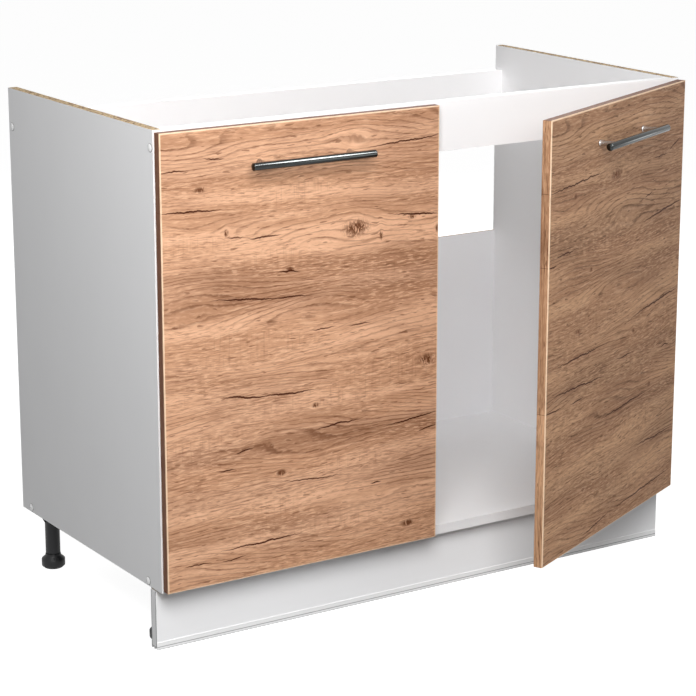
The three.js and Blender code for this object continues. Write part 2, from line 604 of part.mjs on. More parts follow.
// Winged plate on the side panel, with the bar that the arm clips over.
function mountingPlate() {
  const innerFace = BOARD;
  const wing = new THREE.Shape();
  const half = PLATE_WING_WIDTH / 2;
  const reach = PLATE_WING_HALF_HEIGHT - half;
  wing.absarc(PLATE_SCREW_LINE, reach, half, 0, Math.PI, false);
  wing.absarc(PLATE_SCREW_LINE, -reach, half, Math.PI, 2 * Math.PI, false);
  const base = profileAlongX(wing, [innerFace, innerFace + PLATE_BASE]);
  const barHalf = CHEEK_INNER - SEAT_GAP;
  const barTop = ARM_TOP - ARM_CHEEK - SEAT_GAP;
  const baseTop = innerFace + PLATE_BASE;
  const bar = plate(outline([
    [innerFace, ARM_WEB_START - PLATE_BAR_LEAD], [baseTop, ARM_WEB_START - PLATE_BAR_LEAD],
    [barTop, ARM_WEB_START], [barTop, ARM_REAR - PLATE_BAR_LEAD], [baseTop, ARM_REAR], [innerFace, ARM_REAR],
  ]), [-barHalf, barHalf]);
  const throughBase = [innerFace - PAST_FACE, baseTop + PAST_FACE];
  const holes = [-1, 1].map((end) => rod('x', PLATE_SCREW_RADIUS, throughBase,
    [0, PLATE_SCREW_LINE, end * PLATE_SCREW_SPACING / 2], SMALL));
  const clampHole = rod('x', PLATE_CLAMP_RADIUS, [barTop - PLATE_CLAMP_DEPTH, barTop + PAST_FACE],
    [0, ARM_CLAMP_LINE, 0], SMALL);
  return toGeometry(cut(join(base, bar), ...holes, clampHole));
}

// Deep-drawn cup with its flange, the through pin and the two stub pins of the outer link.
function hingeCup() {
  const flangeSeat = DOOR_BACK + SEAT_GAP;
  const flangeTop = flangeSeat + CUP_FLANGE_THICKNESS;
  const bottom = DOOR_BACK - CUP_DEPTH;
  const centre = [CUP_CENTRE.x, 0, 0];
  const earX = CUP_CENTRE.x + CUP_SCREW_OFFSET;
  const ears = new THREE.Shape();
  ears.absarc(earX, CUP_SCREW_SPACING / 2, CUP_EAR_RADIUS, 0, Math.PI, false);
  ears.absarc(earX, -CUP_SCREW_SPACING / 2, CUP_EAR_RADIUS, Math.PI, 2 * Math.PI, false);
  const earPlate = plate(ears, [-flangeTop, -flangeSeat]).rotateX(Math.PI / 2);
  const shell = join(
    rod('y', CUP_RADIUS, [bottom, flangeTop], centre, FINE),
    rod('y', CUP_FLANGE_RADIUS, [flangeSeat, flangeTop], centre, FINE),
    earPlate);
  const hollow = rod('y', CUP_RADIUS - CUP_WALL, [bottom + CUP_WALL, flangeTop + PAST_FACE], centre, FINE);
  const screwHoles = [-1, 1].map((end) => rod('y', CUP_SCREW_RADIUS,
    [flangeSeat - PAST_FACE, flangeTop + PAST_FACE], [earX, 0, end * CUP_SCREW_SPACING / 2], SMALL));
  const reliefHalf = OUTER_LINK_HALF_WIDTH + LINK_SIDE_PLAY;
  const relief = block([0, CUP_OUTER_PIVOT.x], [CUP_OUTER_PIVOT.y, flangeTop + PAST_FACE],
    [-reliefHalf, reliefHalf]);
  const across = [-CUP_RADIUS, CUP_RADIUS];
  const outerPin = join(disc(CUP_OUTER_PIVOT, PIN_RADIUS, across, SMALL));
  const innerPin = join(disc(CUP_INNER_PIVOT, PIN_RADIUS, across, SMALL));
  const innerLinkHalf = INNER_LINK_HALF_WIDTH + LINK_SIDE_PLAY;
  const middleBand = block([0, CUP_CENTRE.x], [bottom, flangeTop], [-innerLinkHalf, innerLinkHalf]);
  const inside = toSolid(rod('y', CUP_RADIUS - CUP_WALL / 2, [bottom, flangeTop], centre, FINE));
  const pins = cut(outerPin, middleBand).add(innerPin).intersect(inside);
  return toGeometry(cut(shell, hollow, relief, ...screwHoles).add(pins));
}

// ---------------------------------------------------------------- doors and handles
// Left-hand door in the same plane as its hinges, closed, with z from the floor.

function roundedBoard(width, height, thickness) {
  const round = DOOR_EDGE_ROUND;
  const face = outline([
    [round, round], [width - round, round], [width - round, height - round], [round, height - round],
  ]);
  const geometry = new THREE.ExtrudeGeometry(face, {
    depth: thickness - 2 * round,
    bevelEnabled: true,
    bevelThickness: round,
    bevelSize: round,
    bevelSegments: BEVEL_STEPS,
  });
  // The face lies in x and z, the thickness runs towards the front.
  return geometry.translate(0, 0, round).rotateX(Math.PI / 2);
}

const postPlaces = [-1, 1].map((end) => HANDLE_MIDDLE + end * HANDLE_POST_SPACING / 2);

function doorBoard() {
  const board = roundedBoard(DOOR_WIDTH, DOOR_TOP - DOOR_BOTTOM, DOOR_THICKNESS);
  board.translate(DOOR_SIDE_REVEAL, DOOR_BACK, DOOR_BOTTOM);
  const cupBores = Object.values(HINGE_HEIGHTS).map((z) => rod('y', CUP_BORE_RADIUS,
    [DOOR_BACK - CUP_DEPTH - SEAT_GAP, DOOR_BACK + PAST_FACE], [CUP_CENTRE.x, 0, z], FINE));
  const shank = HANDLE_SCREW_RADIUS + SEAT_GAP;
  const head = HANDLE_SCREW_HEAD_RADIUS + SEAT_GAP;
  const screwHoles = postPlaces.map((x) => turned('y', [
    [0, DOOR_FACE - PAST_FACE], [shank, DOOR_FACE - PAST_FACE], [shank, DOOR_BACK - (head - shank)],
    [head, DOOR_BACK], [head, DOOR_BACK + PAST_FACE], [0, DOOR_BACK + PAST_FACE],
  ], [x, 0, HANDLE_Z]));
  return toGeometry(cut(join(board), ...cupBores, ...screwHoles));
}

const BAR_Y = DOOR_FACE - HANDLE_STANDOFF;

function handleBar() {
  const half = HANDLE_LENGTH / 2;
  const chamfer = HANDLE_BAR_CHAMFER;
  const radius = HANDLE_BAR_RADIUS;
  return toGeometry(join(turned('x', [
    [0, -half], [radius - chamfer, -half], [radius, -half + chamfer],
    [radius, half - chamfer], [radius - chamfer, half], [0, half],
  ], [HANDLE_MIDDLE, BAR_Y, HANDLE_Z])));
}

// Post with a saddle for the bar and a bore for its screw.
function handlePost(x) {
  const seat = DOOR_FACE - SEAT_GAP;
  const radius = HANDLE_POST_RADIUS;
  const flare = HANDLE_POST_FLARE;
  const body = join(turned('y', [
    [0, BAR_Y], [radius, BAR_Y], [radius, seat - 2 * flare],
    [radius + flare, seat - flare], [radius + flare, seat], [0, seat],
  ], [x, 0, HANDLE_Z]));
  const saddle = rod('x', HANDLE_BAR_RADIUS + SEAT_GAP, [x - 2 * radius, x + 2 * radius],
    [0, BAR_Y, HANDLE_Z]);
  const bore = rod('y', HANDLE_SCREW_RADIUS + SEAT_GAP, [seat - HANDLE_SCREW_REACH, seat + PAST_FACE],
    [x, 0, HANDLE_Z], SMALL);
  return toGeometry(cut(body, saddle, bore));
}

// Countersunk screw, flush with the door's rear face, with a cross recess.
function handleScrew(x) {
  const shank = HANDLE_SCREW_RADIUS;
  const head = HANDLE_SCREW_HEAD_RADIUS;
  const tip = DOOR_FACE - HANDLE_SCREW_REACH;
  const body = join(turned('y', [
    [0, tip], [shank / 2, tip], [shank, tip + shank / 2], [shank, DOOR_BACK - (head - shank)],
    [head, DOOR_BACK], [0, DOOR_BACK],
  ], [x, 0, HANDLE_Z], SMALL));
  const depths = [DOOR_BACK - RECESS_DEPTH, DOOR_BACK + PAST_FACE];
  const [long, short] = [RECESS_LENGTH / 2, RECESS_WIDTH / 2];
  return toGeometry(cut(body,
    block([x - long, x + long], depths, [HANDLE_Z - short, HANDLE_Z + short]),
    block([x - short, x + short], depths, [HANDLE_Z - long, HANDLE_Z + long])));
}

// Hangs one door on its links. Every piece is made closed and left-handed, then placed from its pivot.
function hangDoor(side) {
  const mirror = side === 'right';
  const inwards = mirror ? -1 : 1;
  const open = THREE.MathUtils.degToRad(DOOR_OPEN[side]);
  const wall = new THREE.Group();
  wall.position.set(-inwards * HALF_WIDTH, FRONT_Y, 0);

  const pivotGroup = (parent, pivot, from, turn) => {
    const group = new THREE.Group();
    group.position.set(inwards * (pivot.x - from.x), pivot.y - from.y, 0);
    group.rotation.z = inwards * turn;
    parent.add(group);
    return group;
  };
  const place = (group, pivot, name, geometry, finish, z = 0) => {
    const local = geometry.clone().translate(-pivot.x, -pivot.y, z);
    group.add(named(name, mirror ? mirroredX(local) : local, finish));
  };

  const wallPoint = new THREE.Vector2(0, 0);
  const outerLinks = pivotGroup(wall, ARM_OUTER_PIVOT, wallPoint, OUTER_LINK_TURN * open);
  const door = pivotGroup(outerLinks, CUP_OUTER_PIVOT, ARM_OUTER_PIVOT, -(1 + OUTER_LINK_TURN) * open);
  const innerLinks = pivotGroup(wall, ARM_INNER_PIVOT, wallPoint, INNER_LINK_TURN * open);

  for (const [level, z] of Object.entries(HINGE_HEIGHTS)) {
    const label = `${side}_${level}`;
    place(wall, wallPoint, `hinge_arm_${label}`, hingeArm(), nickel, z);
    place(wall, wallPoint, `hinge_plate_${label}`, mountingPlate(), nickel, z);
    place(outerLinks, ARM_OUTER_PIVOT, `outer_link_${label}`, outerLink(), nickel, z);
    place(innerLinks, ARM_INNER_PIVOT, `inner_link_${label}`, innerLink(), nickel, z);
    place(door, CUP_OUTER_PIVOT, `hinge_cup_${label}`, hingeCup(), nickel, z);
  }

  place(door, CUP_OUTER_PIVOT, `door_${side}`, doorBoard(), oakBoard);
  place(door, CUP_OUTER_PIVOT, `handle_bar_${side}`, handleBar(), chrome);
  postPlaces.forEach((x, index) => {
    const end = index === 0 ? 'outer' : 'inner';
    place(door, CUP_OUTER_PIVOT, `handle_post_${side}_${end}`, handlePost(x), chrome);
    place(door, CUP_OUTER_PIVOT, `handle_screw_${side}_${end}`, handleScrew(x), zinc);
  });
  cabinet.add(wall);
}

buildCarcass();
buildCaps();
buildLegs();
buildPlinth();
hangDoor('left');
hangDoor('right');

export default cabinet;
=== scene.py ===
"""Looks of a sink base cabinet: white carcass, two oak decor doors, bar handles, legs and plinth.

Metres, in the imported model's frame: x along the width, y from the front to the rear, z up.
"""

import json
import math

import bmesh
import bpy
from mathutils import Matrix, Vector


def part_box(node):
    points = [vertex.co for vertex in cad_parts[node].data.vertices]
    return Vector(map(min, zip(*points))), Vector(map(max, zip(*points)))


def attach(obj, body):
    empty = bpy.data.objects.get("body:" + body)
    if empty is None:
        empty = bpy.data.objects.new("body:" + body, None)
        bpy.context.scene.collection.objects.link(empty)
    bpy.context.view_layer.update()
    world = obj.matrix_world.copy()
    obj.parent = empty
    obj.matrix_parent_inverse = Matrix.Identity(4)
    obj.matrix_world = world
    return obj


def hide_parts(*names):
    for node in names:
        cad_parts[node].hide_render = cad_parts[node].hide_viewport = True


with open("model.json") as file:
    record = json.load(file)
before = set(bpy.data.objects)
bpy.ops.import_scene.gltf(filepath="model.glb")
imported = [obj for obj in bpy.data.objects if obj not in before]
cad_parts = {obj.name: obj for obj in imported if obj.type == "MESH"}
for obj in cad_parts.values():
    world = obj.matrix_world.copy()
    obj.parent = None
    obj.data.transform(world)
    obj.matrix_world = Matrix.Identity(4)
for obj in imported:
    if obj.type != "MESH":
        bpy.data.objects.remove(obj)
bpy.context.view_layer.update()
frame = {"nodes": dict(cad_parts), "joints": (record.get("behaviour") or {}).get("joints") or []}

# ---- sizes of the finer pieces

MM = 0.001

# Carcass faces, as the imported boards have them
SIDE_LOW, SIDE_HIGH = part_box("side_left")
CARCASS_TOP = SIDE_HIGH.z
CARCASS_BOTTOM = SIDE_LOW.z
CARCASS_FRONT = SIDE_LOW.y
CARCASS_REAR = SIDE_HIGH.y
BOARD = SIDE_HIGH.x - SIDE_LOW.x
OUTER_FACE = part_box("side_right")[1].x
MELAMINE_SKIN = 0.35 * MM
EDGE_BAND = 0.8 * MM
EDGE_BAND_JOINT = 0.12 * MM
BOARD_TOUCH = 0.1 * MM

# Doors: a point this near to an edge lies on it
DOOR_LOW, DOOR_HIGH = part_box("door_left")
DOOR_WIDTH = DOOR_HIGH.x - DOOR_LOW.x
DOOR_HEIGHT = DOOR_HIGH.z - DOOR_LOW.z
RIGHT_DOOR_OPEN = math.radians(26)
DOOR_ARRIS = 1.6 * MM
DOOR_TOUCH = 0.4 * MM

# Handles
BAR_RADIUS = 6 * MM
BAR_END_ROUND = 1 * MM
BAR_END_DOME = 1.2 * MM
POST_RADIUS = 5 * MM
POST_WAIST_RADIUS = 4.4 * MM
POST_FLARE = 0.5 * MM
POST_RING_LOW = 0.5 * MM
POST_RING_HIGH = 1.6 * MM
POST_RING_TOP = 2.2 * MM
POST_NECK = 3.2 * MM
POST_WAIST_LOW = 8 * MM

# Legs and feet
MOULD_ROUND = 0.5 * MM
FLANGE_RADIUS = 23.5 * MM
FLANGE_THICKNESS = 4 * MM
FLANGE_FILLET = 2 * MM
FLANGE_SCREW_CIRCLE = 18.5 * MM
TUBE_RADIUS = 12.5 * MM
TUBE_BORE = 10.2 * MM
TUBE_BOTTOM = 26 * MM
RIB_THICKNESS = 2.4 * MM
RIB_DROP = 16 * MM
RIB_REACH = 21.5 * MM
RIB_ROOT = 1 * MM
RIB_FOOT_REACH = TUBE_RADIUS + 0.3 * MM
FOOT_RADIUS = 20 * MM
FOOT_BASE_RADIUS = 16 * MM
FOOT_RIM_LOW = 4 * MM
FOOT_RIM_HIGH = 15.5 * MM
FOOT_COLLAR_LOW = 21 * MM
FOOT_COLLAR_HIGH = 25 * MM
FOOT_COLLAR_RADIUS = 13.4 * MM
FOOT_COLLAR_BORE = TUBE_RADIUS + 0.2 * MM
FOOT_NOTCHES = 8
NOTCH_WIDTH = 3 * MM
NOTCH_HEIGHT = 5 * MM
NOTCH_DEPTH = 3 * MM
SPINDLE_RADIUS = 9.6 * MM
SPINDLE_TIP = 2 * MM
SPINDLE_TOP = 66 * MM
THREAD_PITCH = 3 * MM
THREAD_DEPTH = 0.7 * MM

# Cover caps, and where the rings of their domes lie, as shares of the way out from the top
CAP_RADIUS = 7 * MM
CAP_RISE = 1.6 * MM
CAP_RIM = 0.2 * MM
CAP_RINGS = (0.98, 0.9, 0.75, 0.6, 0.45, 0.3, 0.15)

# Hinges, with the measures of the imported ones
CUP_FLANGE_THICKNESS = 1.1 * MM
CUP_CENTRE_FROM_EDGE = 21.5 * MM
CUP_SCREW_SPREAD = 22.5 * MM
CUP_SCREW_OFFSET = 9.5 * MM
PLATE_THICKNESS = 2 * MM
PLATE_SCREW_FROM_FRONT = 37 * MM
PLATE_SCREW_SPREAD = 16 * MM
ARM_TOP_FROM_WALL = 12.5 * MM
ADJUSTER_FROM_FRONT = 33 * MM
ADJUSTER_SUNK = 1.4 * MM
CLAMP_FROM_FRONT = 50 * MM
CLAMP_SUNK = 0.1 * MM

# Plinth: its clips, the painted shade lines on the ends of its board, and its sealing strip's grey line and
# its dark foot of painted shade
CLIP_WALL = 2.4 * MM
CLIP_SCREW_SPREAD = 17 * MM
PLINTH_END_TOUCH = 0.3 * MM
PLINTH_END_LINE = (2.6 * MM, 1.2 * MM)
SEAL_LINE = 4.6 * MM
SEAL_LINE_WIDTH = 0.8 * MM
SEAL_FOOT_SHADE = (1.1 * MM, 0.7 * MM)

# Screw heads: the radius and the rise of each kind
LEG_SCREW = (3.2 * MM, 1.6 * MM)
PLATE_SCREW = (3.9 * MM, 1.9 * MM)
ADJUSTER_SCREW = (3.0 * MM, 1.6 * MM)
CLAMP_SCREW = (3.4 * MM, 1.6 * MM)
CUP_SCREW = (3.6 * MM, 1.5 * MM)
CLIP_SCREW = (3.2 * MM, 1.5 * MM)
RECESS_REACH = 0.495
RECESS_DEPTH = 0.55
CROSS_ARM = 0.3

# Nails of the back panel
NAIL_RADIUS = 1.9 * MM
NAIL_SHANK_RADIUS = 1.1 * MM
NAIL_DEPTH = 1 * MM
NAIL_HEAD = 0.3 * MM
NAIL_PROUD = 0.04 * MM
NAIL_FROM_EDGE = 5 * MM
NAIL_GAPS_ALONG = 7
NAIL_GAPS_UP = 3

# Steps of a full turn, how near two points are welded, and the angle from which an edge stays sharp
ROUND = 48
ROUND_FINE = 64
ROUND_SMALL = 24
WELD = 0.001 * MM
SHARP_FROM = math.radians(35)

# Camera of the photograph
LENS = 122.33
SENSOR = 36
CAMERA_PLACE = (-2.102, -3.066, 1.392)
CAMERA_DOWN = math.radians(14.75)
CAMERA_ASIDE = math.radians(32.59)

# Floor and room: the greys that light the object, and what the camera, gloss and glass see
FLOOR_GREY = (0.1, 0.1, 0.1, 1)
FLOOR_SEEN_GREY = (0.42, 0.42, 0.42, 1)
FLOOR_SEEN_GLOW = 0.93
FLOOR_REACH = 30
ROOM_LIGHT = 0.11
ROOM_SEEN = 1.0
WHITE = (1, 1, 1, 1)

# Softboxes: name, place, what they look at, side and watts
SOFTBOXES = [
    ("front_left_softbox", (-1.1, -1.75, 1.75), (-0.1, 0, 0.5), 1.3, 63),
    ("left_side_softbox", (-1.3, -0.35, 1.35), (-0.5, 0.1, 0.6), 0.35, 2.9),
    ("overhead_softbox", (0.5, -0.7, 1.9), (0.1, 0.45, 0.3), 0.6, 3.6),
    ("right_softbox", (1.6, -2.2, 0.45), (0, 0, 0.3), 1.2, 12),
    ("rear_softbox", (1.5, 2.6, 1.7), (0, 0.3, 0.4), 1.6, 28),
]

# Cards that only gloss can see: they draw the light lines along the bars
GLOSS_CARDS = [
    ("left_bar_card", (0.99, -1.32, 2.36), (-0.25, -0.06, 0.74), 1.0, 115),
    ("right_bar_card", (2.8, -0.2, 0.45), (0.3, -0.2, 0.74), 0.6, 3.5),
]


# ---- shader nodes


def fill(made, inputs):
    """Gives a node's inputs their values, or joins them to the sockets given."""
    for key, value in inputs.items():
        if isinstance(value, bpy.types.NodeSocket):
            made.id_data.links.new(value, made.inputs[key])
        else:
            made.inputs[key].default_value = value


def lay(kind, inputs=None, tree=None, **settings):
    """Lays one node in the tree given, or else in that of its first socket, sets it and fills its inputs."""
    inputs = inputs or {}
    sockets = [value for value in inputs.values() if isinstance(value, bpy.types.NodeSocket)]
    made = (tree or sockets[0].id_data).nodes.new("ShaderNode" + kind)
    for name, value in settings.items():
        setattr(made, name, value)
    fill(made, inputs)
    return made


def calc(operation, a, b=0.0, c=0.0):
    return lay("Math", {0: a, 1: b, 2: c}, operation=operation).outputs[0]


def times(a, b):
    return calc("MULTIPLY", a, b)


def gap(a, b):
    return calc("ABSOLUTE", calc("SUBTRACT", a, b))


def split(vector):
    return lay("SeparateXYZ", {0: vector}).outputs


def combine(**axes):
    return lay("CombineXYZ", axes).outputs[0]


def vector_calc(operation, a, b=(0, 0, 0)):
    made = lay("VectorMath", {0: a, 1: b}, operation=operation)
    return made.outputs[1 if operation == "DOT_PRODUCT" else 0]


def fade(value, low, high, to_low=0.0, to_high=1.0):
    """A smooth step of value, from to_low at low to to_high at high."""
    inputs = {"Value": value, "From Min": low, "From Max": high, "To Min": to_low, "To Max": to_high}
    return lay("MapRange", inputs, interpolation_type="SMOOTHSTEP").outputs["Result"]


def noise(vector, scale, detail=2.0, roughness=0.5, distortion=0.0):
    """Noise in 0 to 1, the same size every way."""
    inputs = {"Vector": vector, "Scale": scale, "Detail": detail, "Roughness": roughness,
              "Distortion": distortion}
    return lay("TexNoise", inputs).outputs["Fac"]


def drawn_noise(vector, scales, detail=1.0, roughness=0.5, distortion=0.0):
    """Noise in 0 to 1, drawn out along the axes with a small scale."""
    return noise(vector_calc("MULTIPLY", vector, scales), 1.0, detail, roughness, distortion)


def paint(factor, under, over):
    """Colour over laid on colour under, as much as factor says."""
    return lay("Mix", {0: factor, 6: under, 7: over}, data_type="RGBA").outputs[2]


def mix_number(factor, first, second):
    """A number between first and second, as much as factor says."""
    return lay("Mix", {0: factor, 2: first, 3: second}).outputs[0]


def new_group(name, inputs, outputs):
    """A node group with a Vector and the named inputs. Returns it with its entry's and its exit's sockets."""
    group = bpy.data.node_groups.new(name, "ShaderNodeTree")
    group.interface.new_socket("Vector", in_out="INPUT", socket_type="NodeSocketVector")
    for title, value in inputs.items():
        kind = {3: "Vector", 4: "Color"}[len(value)] if isinstance(value, tuple) else "Float"
        socket = group.interface.new_socket(title, in_out="INPUT", socket_type="NodeSocket" + kind)
        socket.default_value = value
    for title in outputs:
        kind = title if title in ("Color", "Vector") else "Float"
        group.interface.new_socket(title, in_out="OUTPUT", socket_type="NodeSocket" + kind)
    entry = group.nodes.new("NodeGroupInput").outputs
    leave = group.nodes.new("NodeGroupOutput").inputs
    return group, entry, leave


def give(group, leave, **results):
    """Joins a group's results to its exit, and returns the finished group."""
    for title, value in results.items():
        group.links.new(value, leave[title])
    return group


def place(group, vector, **inputs):
    """Places a node group and returns its outputs. A low line in an input's name is a space."""
    made = vector.id_data.nodes.new("ShaderNodeGroup")
    made.node_tree = group
    fill(made, {"Vector": vector, **{key.replace("_", " "): value for key, value in inputs.items()}})
    return made.outputs


def dress(skin, tone, roughness, height, strength, depth, gleam=0.5):
    """Joins a material's colour, roughness and fine relief to its shader, and sets how much it gleams."""
    bump = lay("Bump", {"Strength": strength, "Distance": depth, "Height": height}).outputs[0]
    fill(skin, {"Base Color": tone, "Roughness": roughness, "Normal": bump, "Specular IOR Level": gleam})


def colour(red, green, blue):
    """A colour written as seen on a screen, 0 to 255, as the linear colour that nodes take."""
    def straight(value):
        share = value / 255
        return share / 12.92 if share <= 0.04045 else ((share + 0.055) / 1.055) ** 2.4
    return (straight(red), straight(green), straight(blue), 1.0)


# ---- shared effects


def make_skin_group():
    """The faint orange peel of a pressed or moulded surface, with its small changes of gloss."""
    group, entry, leave = new_group(
        "pressed_skin", {"Gloss": 0.4, "Peel Scale": 300.0, "Smear": 0.05}, ["Roughness", "Height", "Tone"])
    peel = noise(entry["Vector"], entry["Peel Scale"], 2.0, 0.55)
    cloud = noise(entry["Vector"], 9.0, 3.0, 0.6)
    rub = drawn_noise(entry["Vector"], (40.0, 40.0, 7.0), 3.0, 0.6)
    smear = times(fade(rub, 0.4, 0.7), entry["Smear"])
    rough = calc("ADD", entry["Gloss"], smear)
    return give(group, leave, Roughness=rough, Height=peel, Tone=cloud)


def make_chip_group():
    """Pressed wood chips as a cut edge shows them: tan flakes with dark and pale bits."""
    group, entry, leave = new_group(
        "pressed_chips",
        {"Chip Size": 3.0 * MM, "Light Chip": colour(222, 196, 152), "Dark Chip": colour(112, 82, 52)},
        ["Color", "Height"])
    size = calc("DIVIDE", 1.0, entry["Chip Size"])
    flakes = lay("TexVoronoi", {"Vector": entry["Vector"], "Scale": size, "Randomness": 1.0})
    shade = lay("SeparateColor", {0: flakes.outputs["Color"]}).outputs[0]
    grit = noise(entry["Vector"], 1400.0, 3.0, 0.7)
    mixed = calc("ADD", times(shade, 0.65), times(grit, 0.5))
    tone = paint(fade(mixed, 0.3, 0.7), entry["Dark Chip"], entry["Light Chip"])
    pit = fade(flakes.outputs["Distance"], 0.35, 0.75)
    tone = paint(times(pit, 0.4), tone, entry["Dark Chip"])
    return give(group, leave, Color=tone, Height=calc("SUBTRACT", mixed, pit))


def make_polish_group():
    """Fine polishing lines and handling marks on metal."""
    group, entry, leave = new_group(
        "metal_polish", {"Gloss": 0.15, "Marks": 0.1, "Line Scale": (40.0, 1500.0, 1500.0)},
        ["Roughness", "Height", "Tone"])
    lines = drawn_noise(entry["Vector"], entry["Line Scale"], 2.0)
    touched = noise(entry["Vector"], 45.0, 4.0, 0.6)
    marks = times(fade(touched, 0.45, 0.75), entry["Marks"])
    wear_and_highlight_break = calc("MULTIPLY_ADD", lines, times(entry["Marks"], 0.5), entry["Gloss"])
    return give(group, leave, Roughness=calc("ADD", wear_and_highlight_break, marks), Height=lines, Tone=touched)


def make_arris_group():
    """How near a point is to the edges of a board's face, as a soft line along its arrises, which the doors
    use for a painted highlight.
    """
    group, entry, leave = new_group(
        "board_arris", {"Middle": (0, 0, 0), "Half Size": (0.25, 0.35, 0), "Width": 1.6 * MM}, ["Mask"])
    away = vector_calc("ABSOLUTE", vector_calc("SUBTRACT", entry["Vector"], entry["Middle"]))
    short = split(vector_calc("SUBTRACT", entry["Half Size"], away))
    nearest = calc("MINIMUM", short["X"], short["Y"])
    nearest = calc("DIVIDE", nearest, entry["Width"])
    # Noise that breaks up the painted highlight line along the arrises
    wear_and_highlight_break = drawn_noise(entry["Vector"], (60.0, 60.0, 60.0), 2.0, 0.6)
    line = times(fade(nearest, 1.0, 0.6), fade(wear_and_highlight_break, 0.2, 0.6, 0.6, 1.0))
    return give(group, leave, Mask=line)


SKIN = make_skin_group()
CHIPS = make_chip_group()
POLISH = make_polish_group()
ARRIS = make_arris_group()


# ---- oak decor


def bend_grain(vector):
    """The decor's vector with its lines swaying across the grain, in four sizes of wave."""
    shift = 0.0
    for scales, sway in (((1.7, 5.5, 5.5), 26.0), ((7.0, 26.0, 26.0), 9.0), ((34.0, 80.0, 80.0), 3.0),
                         ((120.0, 200.0, 200.0), 1.5)):
        wave = drawn_noise(vector, scales)
        shift = calc("MULTIPLY_ADD", wave, sway * MM, shift)
    return vector_calc("ADD", vector, combine(Y=shift))


def draw_rings(vector, bent, patch):
    """Growth rings: thin level lines of a slow field, strong in some patches."""
    field = drawn_noise(vector, (2.6, 11.0, 11.0))
    level = calc("MULTIPLY_ADD", split(bent)["Y"], 135.0, times(field, 13.0))
    ring = calc("FRACT", level)
    ring = calc("SUBTRACT", fade(ring, 0.58, 0.9), fade(ring, 0.9, 1.0))
    return times(ring, fade(patch, 0.42, 0.6, 0.14, 0.5))


def make_oak_ground_group():
    """Oak decor without its cracks and knots. The vector's x runs with the grain and its y across it."""
    group, entry, leave = new_group(
        "oak_ground", {"Pale": colour(239, 193, 158), "Light": colour(224, 175, 141),
                       "Middle": colour(196, 148, 115), "Deep": colour(108, 66, 42), "Band": 0.0},
        ["Color", "Height", "Roughness"])
    vector, pale, deep = entry["Vector"], entry["Pale"], entry["Deep"]
    bent = bend_grain(vector)
    patch = drawn_noise(vector, (3.4, 15.0, 15.0))
    ring = draw_rings(vector, bent, patch)
    # Streaks from broad to fine
    broad = drawn_noise(bent, (1.6, 24.0, 24.0), 2.0, 0.6)
    streak = drawn_noise(bent, (13.0, 225.0, 225.0), 3.0, 0.72)
    fleck = drawn_noise(bent, (60.0, 380.0, 380.0), 1.0, 0.6)
    rough = fade(patch, 0.58, 0.42)
    cloud = drawn_noise(vector, (3.0, 9.0, 9.0), 2.0)
    tone = paint(fade(broad, 0.4, 0.6), entry["Middle"], entry["Light"])
    tone = paint(fade(cloud, 0.45, 0.65, 0.0, 0.22), tone, deep)
    tone = paint(fade(streak, 0.46, 0.35, 0.0, 0.5), tone, pale)
    deepened = calc("MULTIPLY_ADD", fade(streak, 0.53, 0.64), 0.34, entry["Band"])
    deepened = calc("ADD", ring, deepened)
    tone = paint(calc("MINIMUM", deepened, 0.8), tone, deep)
    dark_fleck = calc("MULTIPLY_ADD", rough, 0.2, 0.1)
    tone = paint(times(fade(fleck, 0.56, 0.62), dark_fleck), tone, deep)
    pale_fleck = calc("MULTIPLY_ADD", rough, 0.28, 0.16)
    tone = paint(times(fade(fleck, 0.44, 0.37), pale_fleck), tone, pale)
    # Short dark pores, few and far between
    tick = drawn_noise(bent, (38.0, 240.0, 240.0))
    tone = paint(fade(tick, 0.66, 0.71, 0.0, 0.6), tone, deep)
    # Faint saw marks across the grain
    saw = drawn_noise(vector, (260.0, 16.0, 16.0))
    sawn = times(fade(saw, 0.54, 0.68, 0.0, 0.14), fade(patch, 0.46, 0.34))
    tone = paint(sawn, tone, deep)
    fibre = drawn_noise(vector, (45.0, 800.0, 800.0), 2.0, 0.6)
    return give(group, leave, Color=tone, Height=fibre, Roughness=fade(streak, 0.3, 0.7, 0.5, 0.62))


def make_oak_knot_group():
    """A knot: bends the grain round itself and gives a rough dark heart, torn up by the given noise."""
    group, entry, leave = new_group(
        "oak_knot",
        {"Centre": (0, 0, 0), "Reach": (30.0, 60.0, 0.0), "Bend": 0.5, "Heart": 0.7, "Torn": 0.5},
        ["Vector", "Mask"])
    away = vector_calc("SUBTRACT", entry["Vector"], entry["Centre"])
    flat = vector_calc("MULTIPLY", away, entry["Reach"])
    squared = vector_calc("DOT_PRODUCT", flat, flat)
    swell = calc("EXPONENT", times(squared, -0.45))
    push = times(swell, times(entry["Bend"], -1.0))
    across = vector_calc("MULTIPLY", away, (0.0, 1.0, 0.0))
    moved_across = lay("VectorMath", {0: across, 3: push}, operation="SCALE").outputs[0]
    core = calc("EXPONENT", times(squared, -1.6))
    heart = times(times(entry["Torn"], core), entry["Heart"])
    return give(group, leave, Vector=vector_calc("ADD", entry["Vector"], moved_across), Mask=heart)


def make_oak_crack_group():
    """A thin drying crack through its middle, which tapers to both ends: how deep a point lies inside it."""
    group, entry, leave = new_group(
        "oak_crack", {"Middle": (0, 0, 0), "Half Length": 0.05, "Slope": 0.0, "Half Width": 0.6 * MM},
        ["Inside"])
    away = split(vector_calc("SUBTRACT", entry["Vector"], entry["Middle"]))
    share = calc("DIVIDE", away["X"], entry["Half Length"])
    taper = calc("SUBTRACT", 1.0, times(share, share))
    off_line = calc("MULTIPLY_ADD", away["X"], entry["Slope"], times(away["Y"], -1.0))
    taken = times(calc("ABSOLUTE", off_line), -1.0)
    return give(group, leave, Inside=calc("MULTIPLY_ADD", taper, entry["Half Width"], taken))


OAK_GROUND = make_oak_ground_group()
OAK_KNOT = make_oak_knot_group()
OAK_CRACK = make_oak_crack_group()

